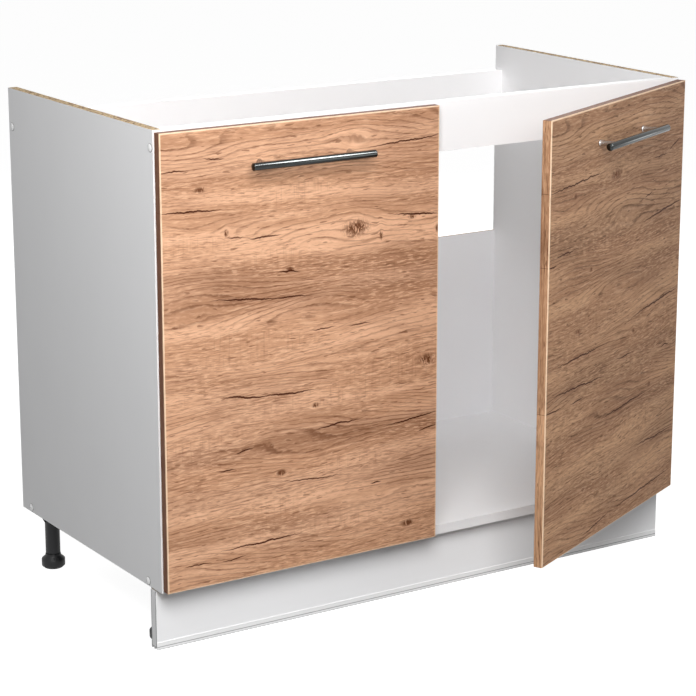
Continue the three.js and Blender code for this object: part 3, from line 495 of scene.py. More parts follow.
# Where the decor of each door has its marks, in millimetres from the door's left edge and down from its top.
# A crack has its two ends and its width; a knot its middle, half its length and height, how far it bends
# the grain, and how dark its heart is; a band its middle, half its height, and how dark it is.
LEFT_CRACKS = [
    ((0, 58), (44, 58), 0.9), ((75, 44), (106, 46), 1.0), ((375, 53), (497, 46), 1.2),
    ((0, 119), (100, 123), 1.4), ((112, 168), (140, 170), 0.8), ((150, 173), (203, 173), 1.3),
    ((415, 165), (497, 171), 1.6), ((200, 231), (238, 234), 1.6), ((90, 261), (200, 272), 1.5),
    ((190, 271), (252, 274), 1.3), ((262, 331), (300, 330), 0.9), ((330, 332), (366, 332), 0.9),
    ((100, 415), (180, 425), 1.7), ((168, 424), (262, 427), 1.5), ((267, 491), (346, 487), 1.5),
    ((122, 508), (152, 503), 1.4), ((402, 507), (497, 498), 1.3), ((462, 526), (497, 519), 1.1),
    ((100, 661), (235, 658), 1.5), ((32, 675), (72, 675), 1.0), ((98, 679), (137, 677), 0.9),
    ((215, 568), (305, 574), 0.9), ((90, 531), (120, 532), 1.0), ((370, 598), (388, 599), 1.2),
]
LEFT_KNOTS = [
    ((342, 178), (30, 17), 0.75, 0.85), ((478, 408), (24, 13), 0.7, 0.8), ((110, 160), (4.5, 7), 0.8, 1.0),
    ((222, 229), (9, 4.5), 0.8, 1.0), ((266, 452), (7, 5), 0.8, 1.0), ((203, 552), (11, 6), 0.8, 0.9),
    ((442, 678), (16, 7), 0.7, 0.9), ((495, 195), (5, 9), 0.6, 0.9), ((66, 90), (14, 6), 0.5, 0.75),
    ((446, 172), (9, 4.5), 0.6, 0.9), ((225, 503), (75, 20), 0.3, 0.0), ((35, 275), (60, 25), 0.6, 0.0),
    ((290, 290), (55, 16), 0.55, 0.0), ((388, 192), (4, 10), 0.4, 0.8), ((337, 38), (30, 12), 0.9, 0.0),
]
LEFT_BANDS = [(150, 75, -0.06), (222, 14, 0.2), (258, 40, 0.26), (505, 24, 0.34), (575, 22, 0.2),
              (635, 16, 0.14), (335, 30, -0.12)]
RIGHT_CRACKS = [
    ((0, 113), (180, 107), 1.2), ((380, 114), (430, 114), 1.0), ((440, 110), (480, 95), 1.3),
    ((350, 175), (375, 170), 1.2), ((345, 215), (497, 202), 1.5), ((30, 215), (85, 215), 1.3),
    ((0, 229), (25, 229), 1.3), ((325, 368), (497, 355), 1.5), ((40, 393), (200, 393), 1.3),
    ((25, 437), (205, 447), 1.5), ((260, 430), (310, 430), 1.1), ((430, 447), (465, 447), 1.2),
    ((0, 462), (50, 462), 1.2), ((90, 465), (130, 465), 1.1), ((210, 518), (370, 512), 1.4),
    ((345, 600), (480, 603), 1.2), ((275, 688), (480, 678), 1.4), ((150, 700), (230, 690), 1.1),
]
RIGHT_KNOTS = [
    ((235, 118), (34, 12), 0.7, 0.75), ((88, 130), (7, 5), 0.7, 0.9), ((110, 350), (16, 5), 0.7, 0.8),
    ((318, 393), (7, 5), 0.7, 0.9), ((388, 502), (7, 5), 0.7, 0.9), ((140, 621), (8, 5), 0.7, 0.9),
    ((150, 258), (6, 5), 0.7, 0.9), ((250, 200), (80, 26), 0.55, 0.0), ((300, 560), (70, 24), 0.55, 0.0),
]
RIGHT_BANDS = [(195, 40, 0.3), (120, 25, 0.1), (440, 30, 0.2), (600, 30, 0.16), (520, 20, 0.14),
               (320, 30, -0.1)]
# The right door's colours are darker than the left door's, as painted shade of the opened door turned from
# the light
RIGHT_SHADED_PALETTE = {"Pale": colour(216, 175, 139), "Light": colour(196, 153, 118),
                 "Middle": colour(169, 127, 96), "Deep": colour(82, 49, 30)}
KNOT_HEART = colour(104, 62, 38)
CRACK_BOTTOM = colour(66, 26, 8)
# Pale colour of the painted highlight along the doors' front arrises
PAINTED_ARRIS_HIGHLIGHT = colour(252, 222, 190)
# Colour of the painted shade on the doors' hinge-side and level edges
PAINTED_EDGE_SHADE = colour(98, 60, 44)


def turn_decor(parts):
    """The decor's vector: its grain runs along the door on the faces, and upwards on the upright edges."""
    upright_edge = calc("GREATER_THAN", gap(parts["X"], DOOR_WIDTH / 2), DOOR_WIDTH / 2 - DOOR_TOUCH)
    on_edges = combine(X=parts["Z"], Y=parts["Y"], Z=parts["X"])
    on_faces = combine(X=parts["X"], Y=parts["Z"], Z=parts["Y"])
    return lay("Mix", {0: upright_edge, 4: on_faces, 5: on_edges}, data_type="VECTOR").outputs[1]


def set_knots(laid, knots):
    """The decor's vector bent round the knots, and how dark each point is with their hearts."""
    torn = drawn_noise(laid, (230.0, 95.0, 95.0), 2.0, 0.6, 1.6)
    torn = fade(torn, 0.36, 0.57, 0.35, 1.0)
    hearts = 0.0
    for (along, down), (half_length, half_height), bend, heart in knots:
        reach = (1 / (half_length * MM), 1 / (half_height * MM), 0.0)
        knot = place(OAK_KNOT, laid, Centre=(along * MM, -down * MM, 0.0), Reach=reach, Bend=bend,
                     Heart=heart, Torn=torn)
        laid = knot["Vector"]
        if heart > 0:
            hearts = calc("MAXIMUM", knot["Mask"], hearts)
    return laid, fade(hearts, 0.05, 0.75)


def waver_face(parts):
    """The door's face with its level lines wavering, for cracks and bands."""
    flat = combine(X=parts["X"], Y=parts["Z"])
    waver = drawn_noise(flat, (34.0, 6.0, 0.0), 3.0, 0.7)
    waver = times(calc("SUBTRACT", waver, 0.5), 9 * MM)
    return vector_calc("ADD", flat, combine(Y=waver))


def set_cracks(flat, cracks):
    """Where the drying cracks are."""
    splits = -1.0
    for (start_along, start_down), (end_along, end_down), width in cracks:
        middle = ((start_along + end_along) / 2 * MM, -(start_down + end_down) / 2 * MM, 0.0)
        slope = (start_down - end_down) / (end_along - start_along)
        half_length = (end_along - start_along) / 2 * MM
        crack = place(OAK_CRACK, flat, Middle=middle, Slope=slope, Half_Length=half_length,
                      Half_Width=width * 0.75 * MM)
        splits = calc("MAXIMUM", crack["Inside"], splits)
    return fade(splits, -0.9 * MM, 0.3 * MM)


def set_bands(flat, bands):
    """How much darker the broad bands are, or paler where they are below nought."""
    down = times(split(flat)["Y"], -1.0)
    shade = 0.0
    for middle, half_height, strength in bands:
        reach = half_height * MM
        shade = calc("ADD", fade(gap(down, middle * MM), reach, reach * 0.3, 0.0, strength), shade)
    return shade


def edge_door(tone, parts, hinge_edge):
    """A painted highlight along the arrises round the face, and painted shade as dark bands on the hinges'
    edge and on the two level ones.
    """
    half_size = (DOOR_WIDTH / 2, DOOR_HEIGHT / 2, 0.0)
    face = combine(X=parts["X"], Y=parts["Z"])
    # Painted highlight: a pale line along the front arrises of the face
    arris = place(ARRIS, face, Middle=(DOOR_WIDTH / 2, -DOOR_HEIGHT / 2, 0.0), Half_Size=half_size,
                  Width=DOOR_ARRIS * 1.5)["Mask"]
    in_front = times(calc("LESS_THAN", parts["Y"], DOOR_ARRIS), 0.8)
    tone = paint(times(arris, in_front), tone, PAINTED_ARRIS_HIGHLIGHT)
    # Painted shade: dark bands behind the arris on the hinges' edge and on the top and bottom edges
    hinge_side = calc("COMPARE", parts["X"], hinge_edge, DOOR_TOUCH)
    off_middle = calc("ABSOLUTE", calc("ADD", parts["Z"], DOOR_HEIGHT / 2))
    level = calc("GREATER_THAN", off_middle, DOOR_HEIGHT / 2 - DOOR_TOUCH)
    behind_arris = fade(parts["Y"], DOOR_ARRIS, DOOR_ARRIS * 2, 0.0, 0.85)
    return paint(times(calc("MAXIMUM", hinge_side, level), behind_arris), tone, PAINTED_EDGE_SHADE)


# ---- materials


def new_material(name):
    """A new material with its shader and its coordinates."""
    material = bpy.data.materials.new(name)
    material.use_nodes = True
    tree = material.node_tree
    return material, tree.nodes["Principled BSDF"], lay("TexCoord", tree=tree).outputs


def make_oak_material(name, corner, turn, hinge_edge, cracks, knots, bands, palette):
    """Oak decor laid on a door: corner is the front face's top left corner, turn its turn about z.

    The edge on the hinges' side, hinge_edge from the left one, has a darker band of painted shade than the
    free one.
    """
    material, skin, coords = new_material(name)
    placed = {"Vector": coords["Object"], "Location": corner, "Rotation": (0, 0, turn)}
    parts = split(lay("Mapping", placed, vector_type="TEXTURE").outputs[0])
    laid, hearts = set_knots(turn_decor(parts), knots)
    flat = waver_face(parts)
    ground = place(OAK_GROUND, laid, Band=set_bands(flat, bands), **palette)
    tone = paint(hearts, ground["Color"], KNOT_HEART)
    tone = paint(set_cracks(flat, cracks), tone, CRACK_BOTTOM)
    tone = edge_door(tone, parts, hinge_edge)
    dress(skin, tone, ground["Roughness"], ground["Height"], 0.35, 0.25 * MM, gleam=0.1)
    return material


def find_raw_edges(at, facing, from_middle):
    """The sides' cut edges: on their tops, bottoms and rears, between the two melamine skins."""
    edges = []
    for axis, look, edge in (("Z", 1, CARCASS_TOP), ("Z", -1, CARCASS_BOTTOM), ("Y", 1, CARCASS_REAR)):
        beyond = "GREATER_THAN" if look > 0 else "LESS_THAN"
        looks_out = calc(beyond, facing[axis], 0.5 * look)
        lies_there = calc(beyond, at[axis], edge - BOARD_TOUCH * look)
        edges.append(times(looks_out, lies_there))
    top, bottom, rear = edges
    raw = calc("MAXIMUM", calc("MAXIMUM", top, bottom), rear)
    past_inner_skin = calc("GREATER_THAN", from_middle, OUTER_FACE - BOARD + MELAMINE_SKIN)
    short_of_outer_skin = calc("LESS_THAN", from_middle, OUTER_FACE - MELAMINE_SKIN)
    return times(raw, times(past_inner_skin, short_of_outer_skin))


def find_plinth_end_lines(at, from_middle):
    """Grey lines of painted shade near both faces on the two ends of the plinth's board."""
    low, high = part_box("plinth_board")
    half = (high.y - low.y) / 2
    end = times(calc("LESS_THAN", at["Z"], CARCASS_BOTTOM),
                calc("COMPARE", from_middle, high.x, PLINTH_END_TOUCH))
    inner, outer = PLINTH_END_LINE
    lines = fade(gap(at["Y"], low.y + half), half - inner, half - outer)
    return times(end, times(lines, 0.75))


def make_carcass_material():
    """White melamine-faced chipboard, banded at the front; the cut edges above, below and behind are raw."""
    material, skin, coords = new_material("white_melamine_board")
    here = coords["Object"]
    peel = place(SKIN, here, Gloss=0.36, Peel_Scale=420.0, Smear=0.07)
    chips = place(CHIPS, here)
    at = split(here)
    from_middle = calc("ABSOLUTE", at["X"])
    raw = find_raw_edges(at, split(coords["Normal"]), from_middle)
    white = paint(peel["Tone"], colour(244, 244, 245), colour(247, 247, 248))
    tone = paint(raw, white, chips["Color"])
    band_joint = calc("COMPARE", at["Y"], CARCASS_FRONT + EDGE_BAND, EDGE_BAND_JOINT)
    tone = paint(times(band_joint, 0.35), tone, colour(150, 150, 150))
    # Painted shade: grey lines along the ends of the plinth's board
    tone = paint(find_plinth_end_lines(at, from_middle), tone, colour(110, 111, 113))
    rough = mix_number(raw, peel["Roughness"], 0.85)
    height = mix_number(raw, peel["Height"], times(chips["Height"], 6.0))
    dress(skin, tone, rough, height, 0.25, 0.06 * MM, gleam=0.25)
    return material


def make_back_material():
    """Thin fibreboard, lacquered white towards the room and bare brown behind."""
    material, skin, coords = new_material("lacquered_fibreboard")
    here = coords["Object"]
    peel = place(SKIN, here, Gloss=0.42, Peel_Scale=520.0, Smear=0.05)
    white = paint(peel["Tone"], colour(243, 244, 247), colour(247, 248, 250))
    flattened = vector_calc("MULTIPLY", here, (1.0, 1.0, 0.6))
    fibres = place(CHIPS, flattened, Chip_Size=0.9 * MM, Light_Chip=colour(182, 144, 106),
                   Dark_Chip=colour(136, 100, 68))
    bare = calc("GREATER_THAN", split(coords["Normal"])["Y"], -0.5)
    rough = mix_number(bare, peel["Roughness"], 0.75)
    height = mix_number(bare, peel["Height"], fibres["Height"])
    dress(skin, paint(bare, white, fibres["Color"]), rough, height, 0.2, 0.06 * MM)
    return material


def make_metal_material(name, tint, gloss, marks, lines, strength):
    """A plated metal with its polishing lines."""
    material, skin, coords = new_material(name)
    wear_and_highlight_break = place(POLISH, coords["Object"], Gloss=gloss, Marks=marks, Line_Scale=lines)
    darker = tuple(part * 0.82 for part in tint[:3]) + (1.0,)
    tone = paint(fade(wear_and_highlight_break["Tone"], 0.3, 0.75), tint, darker)
    dress(skin, tone, wear_and_highlight_break["Roughness"], wear_and_highlight_break["Height"], strength, 0.02 * MM)
    skin.inputs["Metallic"].default_value = 1.0
    return material


def make_plastic_material(name, tint, shade, gloss, peel_scale, strength, gleam=0.5):
    """Moulded plastic with its satin skin."""
    material, skin, coords = new_material(name)
    peel = place(SKIN, coords["Object"], Gloss=gloss, Peel_Scale=peel_scale, Smear=0.1)
    tone = paint(fade(peel["Tone"], 0.3, 0.7), tint, shade)
    dress(skin, tone, peel["Roughness"], peel["Height"], strength, 0.05 * MM, gleam)
    return material


def make_cap_material():
    """Glossy white plastic of the cover caps, with a dark ring painted round each rim as contact shade."""
    material, skin, coords = new_material("cover_cap_plastic")
    here = coords["Object"]
    peel = place(SKIN, here, Gloss=0.2, Peel_Scale=700.0, Smear=0.06)
    out = calc("ABSOLUTE", split(here)["X"])
    # Painted contact shade: a dark ring at the joint round the cap's rim
    joint = fade(out, OUTER_FACE + 0.75 * MM, OUTER_FACE + 0.35 * MM, 0.0, 0.95)
    tone = paint(peel["Tone"], colour(255, 255, 255), colour(252, 252, 252))
    tone = paint(joint, tone, colour(84, 84, 82))
    dress(skin, tone, peel["Roughness"], peel["Height"], 0.06, 0.05 * MM, gleam=1.0)
    return material


def make_seal_material():
    """The plinth's sealing strip: a white rail with a soft lip, a grey line between them, and painted contact
    shade along its foot.
    """
    material, skin, coords = new_material("seal_two_part_plastic")
    here = coords["Object"]
    peel = place(SKIN, here, Gloss=0.3, Peel_Scale=500.0, Smear=0.1)
    height = split(here)["Z"]
    line = fade(gap(height, SEAL_LINE), SEAL_LINE_WIDTH, SEAL_LINE_WIDTH * 0.5, 0.0, 0.8)
    # Painted contact shade: the strip's bottom darkened where it meets the floor
    foot = fade(height, *SEAL_FOOT_SHADE, 0.0, 0.75)
    tone = paint(peel["Tone"], colour(240, 240, 240), colour(246, 246, 246))
    tone = paint(calc("MAXIMUM", line, foot), tone, colour(120, 121, 124))
    dress(skin, tone, peel["Roughness"], peel["Height"], 0.12, 0.05 * MM)
    return material


# The right door is the left one mirrored and then opened about its hinges
JOINTS = {joint["name"]: joint for joint in frame["joints"]}
LEFT_PIVOT = Vector(JOINTS["left_door_swing"]["pos_m"])
RIGHT_PIVOT = Vector(JOINTS["right_door_swing"]["pos_m"])
SHUT_RIGHT_PIVOT = Vector((-LEFT_PIVOT.x, LEFT_PIVOT.y, LEFT_PIVOT.z))
OPENED = (Matrix.Translation(RIGHT_PIVOT) @ Matrix.Rotation(RIGHT_DOOR_OPEN, 4, "Z")
          @ Matrix.Translation(-SHUT_RIGHT_PIVOT))
DOOR_PLACES = {"left": Matrix.Identity(4), "right": OPENED @ Matrix.Diagonal((-1, 1, 1, 1))}
LEFT_CORNER = Vector((DOOR_LOW.x, DOOR_LOW.y, DOOR_HIGH.z))
RIGHT_CORNER = OPENED @ Vector((-DOOR_HIGH.x, DOOR_LOW.y, DOOR_HIGH.z))

LEFT_OAK = make_oak_material("oak_decor_left", LEFT_CORNER, 0.0, 0.0, LEFT_CRACKS, LEFT_KNOTS, LEFT_BANDS, {})
RIGHT_OAK = make_oak_material("oak_decor_right", RIGHT_CORNER, RIGHT_DOOR_OPEN, DOOR_WIDTH, RIGHT_CRACKS,
                              RIGHT_KNOTS, RIGHT_BANDS, RIGHT_SHADED_PALETTE)
POST_CHROME = make_metal_material("post_chrome", (0.5, 0.49, 0.48, 1), 0.22, 0.06,
                                  (1800.0, 60.0, 1800.0), 0.06)
CAP_PLASTIC = make_cap_material()
SLOT_MATERIALS = {
    "carcass_board": make_carcass_material(),
    "back_board": make_back_material(),
    # The bar's chrome is tinted near black, painted shade standing in for dark reflections; the posts keep a
    # lighter chrome
    "handle_metal": make_metal_material("handle_chrome_painted_dark", (0.05, 0.053, 0.052, 1), 0.15, 0.05,
                                        (30.0, 1800.0, 1800.0), 0.06),
    "hinge_steel": make_metal_material("hinge_nickel", (0.6, 0.59, 0.56, 1), 0.24, 0.16,
                                       (900.0, 900.0, 60.0), 0.15),
    "screw_steel": make_metal_material("screw_zinc", (0.58, 0.59, 0.6, 1), 0.3, 0.2,
                                       (900.0, 900.0, 900.0), 0.25),
    "black_plastic": make_plastic_material("leg_black_plastic", (0.007, 0.007, 0.0075, 1),
                                           (0.013, 0.013, 0.014, 1), 0.45, 900.0, 0.25, gleam=0.3),
    "white_plastic": make_plastic_material("white_moulded_plastic", (0.95, 0.95, 0.95, 1),
                                           (0.93, 0.93, 0.93, 1), 0.22, 700.0, 0.06),
    "seal_plastic": make_seal_material(),
}
NODE_MATERIALS = {"door_left": LEFT_OAK, "door_right": RIGHT_OAK}


# ---- mesh work


def into_scene(name, data):
    """A new object with this mesh, lamp or lens, in the scene."""
    held = bpy.data.objects.new(name, data)
    bpy.context.scene.collection.objects.link(held)
    return held


def as_mesh(name, bm):
    """The mesh of a bmesh, which is freed."""
    mesh = bpy.data.meshes.new(name)
    bm.to_mesh(mesh)
    bm.free()
    return mesh


def stand(bm, centre, axis):
    """Turns a body that stands up along z to stand along axis, with its foot at centre."""
    lean = Vector((0, 0, 1)).rotation_difference(Vector(axis)).to_matrix().to_4x4()
    bmesh.ops.transform(bm, matrix=Matrix.Translation(centre) @ lean, verts=bm.verts)


def spin_profile(outline, centre=(0, 0, 0), steps=ROUND, closed=False, axis=(0, 0, 1)):
    """A turned body of the outline's (radius, height) corners, standing along axis at centre."""
    bm = bmesh.new()
    corners = [bm.verts.new((radius, 0, height)) for radius, height in outline]
    for first, second in zip(corners, corners[1:]):
        bm.edges.new((first, second))
    if closed:
        bm.edges.new((corners[-1], corners[0]))
    bmesh.ops.spin(bm, geom=bm.verts[:] + bm.edges[:], cent=(0, 0, 0), axis=(0, 0, 1), dvec=(0, 0, 0),
                   angle=math.tau, steps=steps, use_merge=True, use_duplicate=False)
    bmesh.ops.remove_doubles(bm, verts=bm.verts, dist=WELD)
    bmesh.ops.recalc_face_normals(bm, faces=bm.faces)
    stand(bm, centre, axis)
    return bm


def block(size, centre):
    """A plain block, to be cut with or shaped further."""
    bm = bmesh.new()
    bmesh.ops.create_cube(bm, size=1.0)
    bmesh.ops.scale(bm, vec=size, verts=bm.verts)
    bmesh.ops.translate(bm, vec=centre, verts=bm.verts)
    return bm


def joined(*shells):
    """One bmesh of several, which are freed."""
    whole = bmesh.new()
    for shell in shells:
        carried = as_mesh("carried", shell)
        whole.from_mesh(carried)
        bpy.data.meshes.remove(carried)
    return whole


def moved(bm, matrix):
    """A moved copy of a bmesh, with its faces outwards again if the matrix mirrors."""
    copy = bm.copy()
    bmesh.ops.transform(copy, matrix=matrix, verts=copy.verts)
    if matrix.to_3x3().determinant() < 0:
        bmesh.ops.recalc_face_normals(copy, faces=copy.faces)
    return copy


def finish_piece(name, bm, body, slot, material=None, stands_for=None):
    """Makes the piece's object at the origin, smooths it, gives it its material and lets it ride."""
    mesh = as_mesh(name, bm)
    piece = into_scene(name, mesh)
    mesh.shade_smooth()
    mesh.set_sharp_from_angle(angle=SHARP_FROM)
    mesh.materials.append(material or SLOT_MATERIALS[slot])
    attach(piece, body)
    if stands_for:
        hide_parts(stands_for)


# ---- screws


def pan_screw(size, centre, axis):
    """A pan head with a cross recess, standing on a face at centre and looking along axis."""
    radius, rise = size
    outline = [(0, 0), (radius, 0), (radius, rise * 0.35), (radius * 0.86, rise * 0.78), (radius * 0.5, rise),
               (radius * RECESS_REACH, rise)]
    head = spin_profile(outline, steps=ROUND_SMALL)
    rim = [edge for edge in head.edges if edge.is_boundary]
    cup = bmesh.ops.extrude_edge_only(head, edges=rim)["geom"]
    inner = [item for item in cup if isinstance(item, bmesh.types.BMVert)]
    bmesh.ops.translate(head, vec=(0, 0, -rise * RECESS_DEPTH), verts=inner)
    # The cross: the recess is drawn in between its four arms
    for corner in inner:
        turn = math.atan2(corner.co.y, corner.co.x) % (math.pi / 2)
        pull = 0.95 if turn < CROSS_ARM or turn > math.pi / 2 - CROSS_ARM else 0.4
        corner.co.x *= pull
        corner.co.y *= pull
    bmesh.ops.holes_fill(head, edges=[edge for edge in head.edges if edge.is_boundary], sides=0)
    bmesh.ops.recalc_face_normals(head, faces=head.faces)
    stand(head, centre, axis)
    return head


def screw_pair(size, axis, middle, spread):
    """Two screws of one size, one on either side of their middle."""
    return joined(*[pan_screw(size, Vector(middle) + Vector(spread) * way, axis) for way in (-1, 1)])


# ---- handles


def handle_bar():
    """The left handle's bar: a round rod with slightly domed, softly broken ends."""
    low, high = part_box("handle_bar_left")
    half = (high.x - low.x) / 2
    flat = BAR_RADIUS - BAR_END_ROUND
    shoulder = -half + BAR_END_DOME + BAR_END_ROUND
    outline = [(0, -half)]
    outline += [(flat * share, -half + BAR_END_DOME * share ** 2) for share in (0.25, 0.5, 0.75, 1.0)]
    outline += [(flat + BAR_END_ROUND * math.sin(turn), shoulder - BAR_END_ROUND * math.cos(turn))
                for turn in (math.pi / 8, math.pi / 4, 3 * math.pi / 8, math.pi / 2)]
    outline += [(radius, -height) for radius, height in reversed(outline)]
    return spin_profile(outline, (low + high) / 2, axis=(1, 0, 0))


def handle_post(where):
    """A left post between door and bar: a foot ring on the door, a waist, and a flare under the bar."""
    low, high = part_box(f"handle_post_left_{where}")
    reach = high.y - low.y
    ring = POST_RADIUS + POST_FLARE
    outline = [(0, 0), (POST_RADIUS + POST_FLARE * 0.6, 0), (ring, POST_RING_LOW), (ring, POST_RING_HIGH),
               (POST_RADIUS + POST_FLARE * 0.4, POST_RING_TOP), (POST_RADIUS, POST_NECK),
               (POST_WAIST_RADIUS, POST_WAIST_LOW), (POST_WAIST_RADIUS, reach * 0.55),
               (POST_RADIUS, reach * 0.85), (POST_RADIUS, reach), (0, reach)]
    middle = (low + high) / 2
    return spin_profile(outline, (middle.x, high.y, middle.z), axis=(0, -1, 0))


for side, door_place in DOOR_PLACES.items():
    finish_piece(f"bar_{side}", moved(handle_bar(), door_place), f"{side}_door", "handle_metal",
                 stands_for=f"handle_bar_{side}")
    for where in ("outer", "inner"):
        finish_piece(f"post_{side}_{where}", moved(handle_post(where), door_place), f"{side}_door",
                     "handle_metal", POST_CHROME, stands_for=f"handle_post_{side}_{where}")


# ---- legs and feet


def leg_rib(under):
    """One upright rib below the flange, drawn in towards the tube at its foot."""
    inner = TUBE_RADIUS - RIB_ROOT
    middle = Vector(((RIB_REACH + inner) / 2, 0, under - RIB_DROP / 2))
    rib = block((RIB_REACH - inner, RIB_THICKNESS, RIB_DROP), middle)
    low_outer = [corner for corner in rib.verts if corner.co.x > middle.x and corner.co.z < middle.z]
    bmesh.ops.translate(rib, vec=(RIB_FOOT_REACH - RIB_REACH, 0, 0), verts=low_outer)
    bmesh.ops.bevel(rib, geom=rib.edges[:], offset=MOULD_ROUND, offset_type="OFFSET", segments=2, profile=0.5,
                    affect="EDGES", clamp_overlap=True, material=-1)
    return rib


def leg_body(centre):
    """Flange, tube and four ribs of one leg."""
    top = CARCASS_BOTTOM
    soft = MOULD_ROUND
    under = top - FLANGE_THICKNESS
    outline = [(TUBE_BORE, TUBE_BOTTOM), (TUBE_RADIUS - soft, TUBE_BOTTOM), (TUBE_RADIUS, TUBE_BOTTOM + soft),
               (TUBE_RADIUS, under - FLANGE_FILLET),
               (TUBE_RADIUS + FLANGE_FILLET * 0.3, under - FLANGE_FILLET * 0.3),
               (TUBE_RADIUS + FLANGE_FILLET, under), (FLANGE_RADIUS - soft, under),
               (FLANGE_RADIUS, under + soft), (FLANGE_RADIUS, top - soft), (FLANGE_RADIUS - soft, top),
               (TUBE_BORE, top)]
    shells = [spin_profile(outline, (centre.x, centre.y, 0), ROUND_FINE, closed=True)]
    for quarter in range(4):
        rib = leg_rib(under)
        turn = Matrix.Rotation(quarter * math.pi / 2, 4, "Z")
        bmesh.ops.transform(rib, matrix=Matrix.Translation((centre.x, centre.y, 0)) @ turn, verts=rib.verts)
        shells.append(rib)
    return joined(*shells)


def leg_screws(centre):
    """The four screws of a leg's flange, between its ribs."""
    screws = []
    for quarter in range(4):
        turn = math.pi / 4 + quarter * math.pi / 2
        spot = (centre.x + FLANGE_SCREW_CIRCLE * math.cos(turn),
                centre.y + FLANGE_SCREW_CIRCLE * math.sin(turn), CARCASS_BOTTOM - FLANGE_THICKNESS)
        screws.append(pan_screw(LEG_SCREW, spot, (0, 0, -1)))
    return joined(*screws)


def foot_shell():
    """A foot: collar, sloping shoulder, upright rim and chamfered base."""
    soft = MOULD_ROUND
    outline = [(0, 0), (FOOT_BASE_RADIUS - soft, 0), (FOOT_BASE_RADIUS, soft),
               (FOOT_RADIUS - soft, FOOT_RIM_LOW - soft), (FOOT_RADIUS, FOOT_RIM_LOW + soft),
               (FOOT_RADIUS, FOOT_RIM_HIGH - soft), (FOOT_RADIUS - soft, FOOT_RIM_HIGH + soft),
               (FOOT_COLLAR_RADIUS + soft, FOOT_COLLAR_LOW), (FOOT_COLLAR_RADIUS, FOOT_COLLAR_LOW + 2 * soft),
               (FOOT_COLLAR_RADIUS - soft, FOOT_COLLAR_HIGH), (FOOT_COLLAR_BORE, FOOT_COLLAR_HIGH),
               (FOOT_COLLAR_BORE, FOOT_RIM_HIGH), (0, FOOT_RIM_HIGH)]
    return spin_profile(outline, steps=ROUND_FINE)


def spindle_thread():
    """The spindle's thread as a stack of turned ridges."""
    outline = [(0, FOOT_RIM_HIGH)]
    height = FOOT_RIM_HIGH
    while height < SPINDLE_TOP - THREAD_PITCH:
        outline += [(SPINDLE_RADIUS - THREAD_DEPTH, height), (SPINDLE_RADIUS, height + THREAD_PITCH / 2)]
        height += THREAD_PITCH
    outline += [(SPINDLE_RADIUS - SPINDLE_TIP, SPINDLE_TOP), (0, SPINDLE_TOP)]
    return spin_profile(outline)


def notched_foot():
    """The foot's shell with the notches cut round its base."""
    notch = block((2 * NOTCH_DEPTH, NOTCH_WIDTH, 2 * NOTCH_HEIGHT), (FOOT_RADIUS, 0, 0))
    notches = joined(*[moved(notch, Matrix.Rotation((step + 0.5) * math.tau / FOOT_NOTCHES, 4, "Z"))
                       for step in range(FOOT_NOTCHES)])
    cutter = into_scene("notch_cutter", as_mesh("notch_cutter", notches))
    foot = into_scene("foot_shell", as_mesh("foot_shell", foot_shell()))
    cut = foot.modifiers.new("notches", "BOOLEAN")
    cut.operation = "DIFFERENCE"
    cut.object = cutter
    cut.solver = "EXACT"
    bpy.context.view_layer.update()
    done = bpy.data.meshes.new_from_object(foot.evaluated_get(bpy.context.evaluated_depsgraph_get()))
    bm = bmesh.new()
    bm.from_mesh(done)
    bpy.data.meshes.remove(done)
    for spent in (cutter, foot):
        mesh = spent.data
        bpy.data.objects.remove(spent)
        bpy.data.meshes.remove(mesh)
    return bm


foot_with_thread = joined(notched_foot(), spindle_thread())
for row in ("front", "rear"):
    for side in ("left", "right"):
        low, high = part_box(f"foot_{row}_{side}")
        centre = (low + high) / 2
        finish_piece(f"leg_{row}_{side}_body", leg_body(centre), "carcass", "black_plastic",
                     stands_for=f"leg_{row}_{side}")
        foot = moved(foot_with_thread, Matrix.Translation((centre.x, centre.y, 0)))
        finish_piece(f"foot_{row}_{side}_body", foot, f"{row}_{side}_foot", "black_plastic",
                     stands_for=f"foot_{row}_{side}")
        finish_piece(f"leg_screws_{row}_{side}", leg_screws(centre), "carcass", "screw_steel")


# ---- cover caps


def cover_cap(node, face, outwards):
    """A low dome, part of a sphere, on a fine upright rim."""
    low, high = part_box(node)
    rise = CAP_RISE - CAP_RIM
    ball = (CAP_RADIUS ** 2 + rise ** 2) / (2 * rise)
    spread = math.asin(CAP_RADIUS / ball)
    outline = [(0, 0), (CAP_RADIUS, 0), (CAP_RADIUS, CAP_RIM * 0.7)]
    outline += [(ball * math.sin(ring * spread), CAP_RISE - ball + ball * math.cos(ring * spread))
                for ring in CAP_RINGS]
    outline.append((0, CAP_RISE))
    return spin_profile(outline, (face, (low.y + high.y) / 2, (low.z + high.z) / 2), axis=(outwards, 0, 0))


for side, outwards in (("left", -1), ("right", 1)):
    for spot in ("front_top", "rear_top", "front_bottom", "rear_bottom"):
        node = f"cap_{side}_{spot}"
        finish_piece(f"cover_cap_{side}_{spot}", cover_cap(node, outwards * OUTER_FACE, outwards), "carcass",
                     "white_plastic", CAP_PLASTIC, stands_for=node)


# ---- small fasteners


def plate_screws(wall, inwards, height):
    """The two screws of a hinge's mounting plate."""
    middle = (wall + inwards * PLATE_THICKNESS, CARCASS_FRONT + PLATE_SCREW_FROM_FRONT, height)
    return screw_pair(PLATE_SCREW, (inwards, 0, 0), middle, (0, 0, PLATE_SCREW_SPREAD))


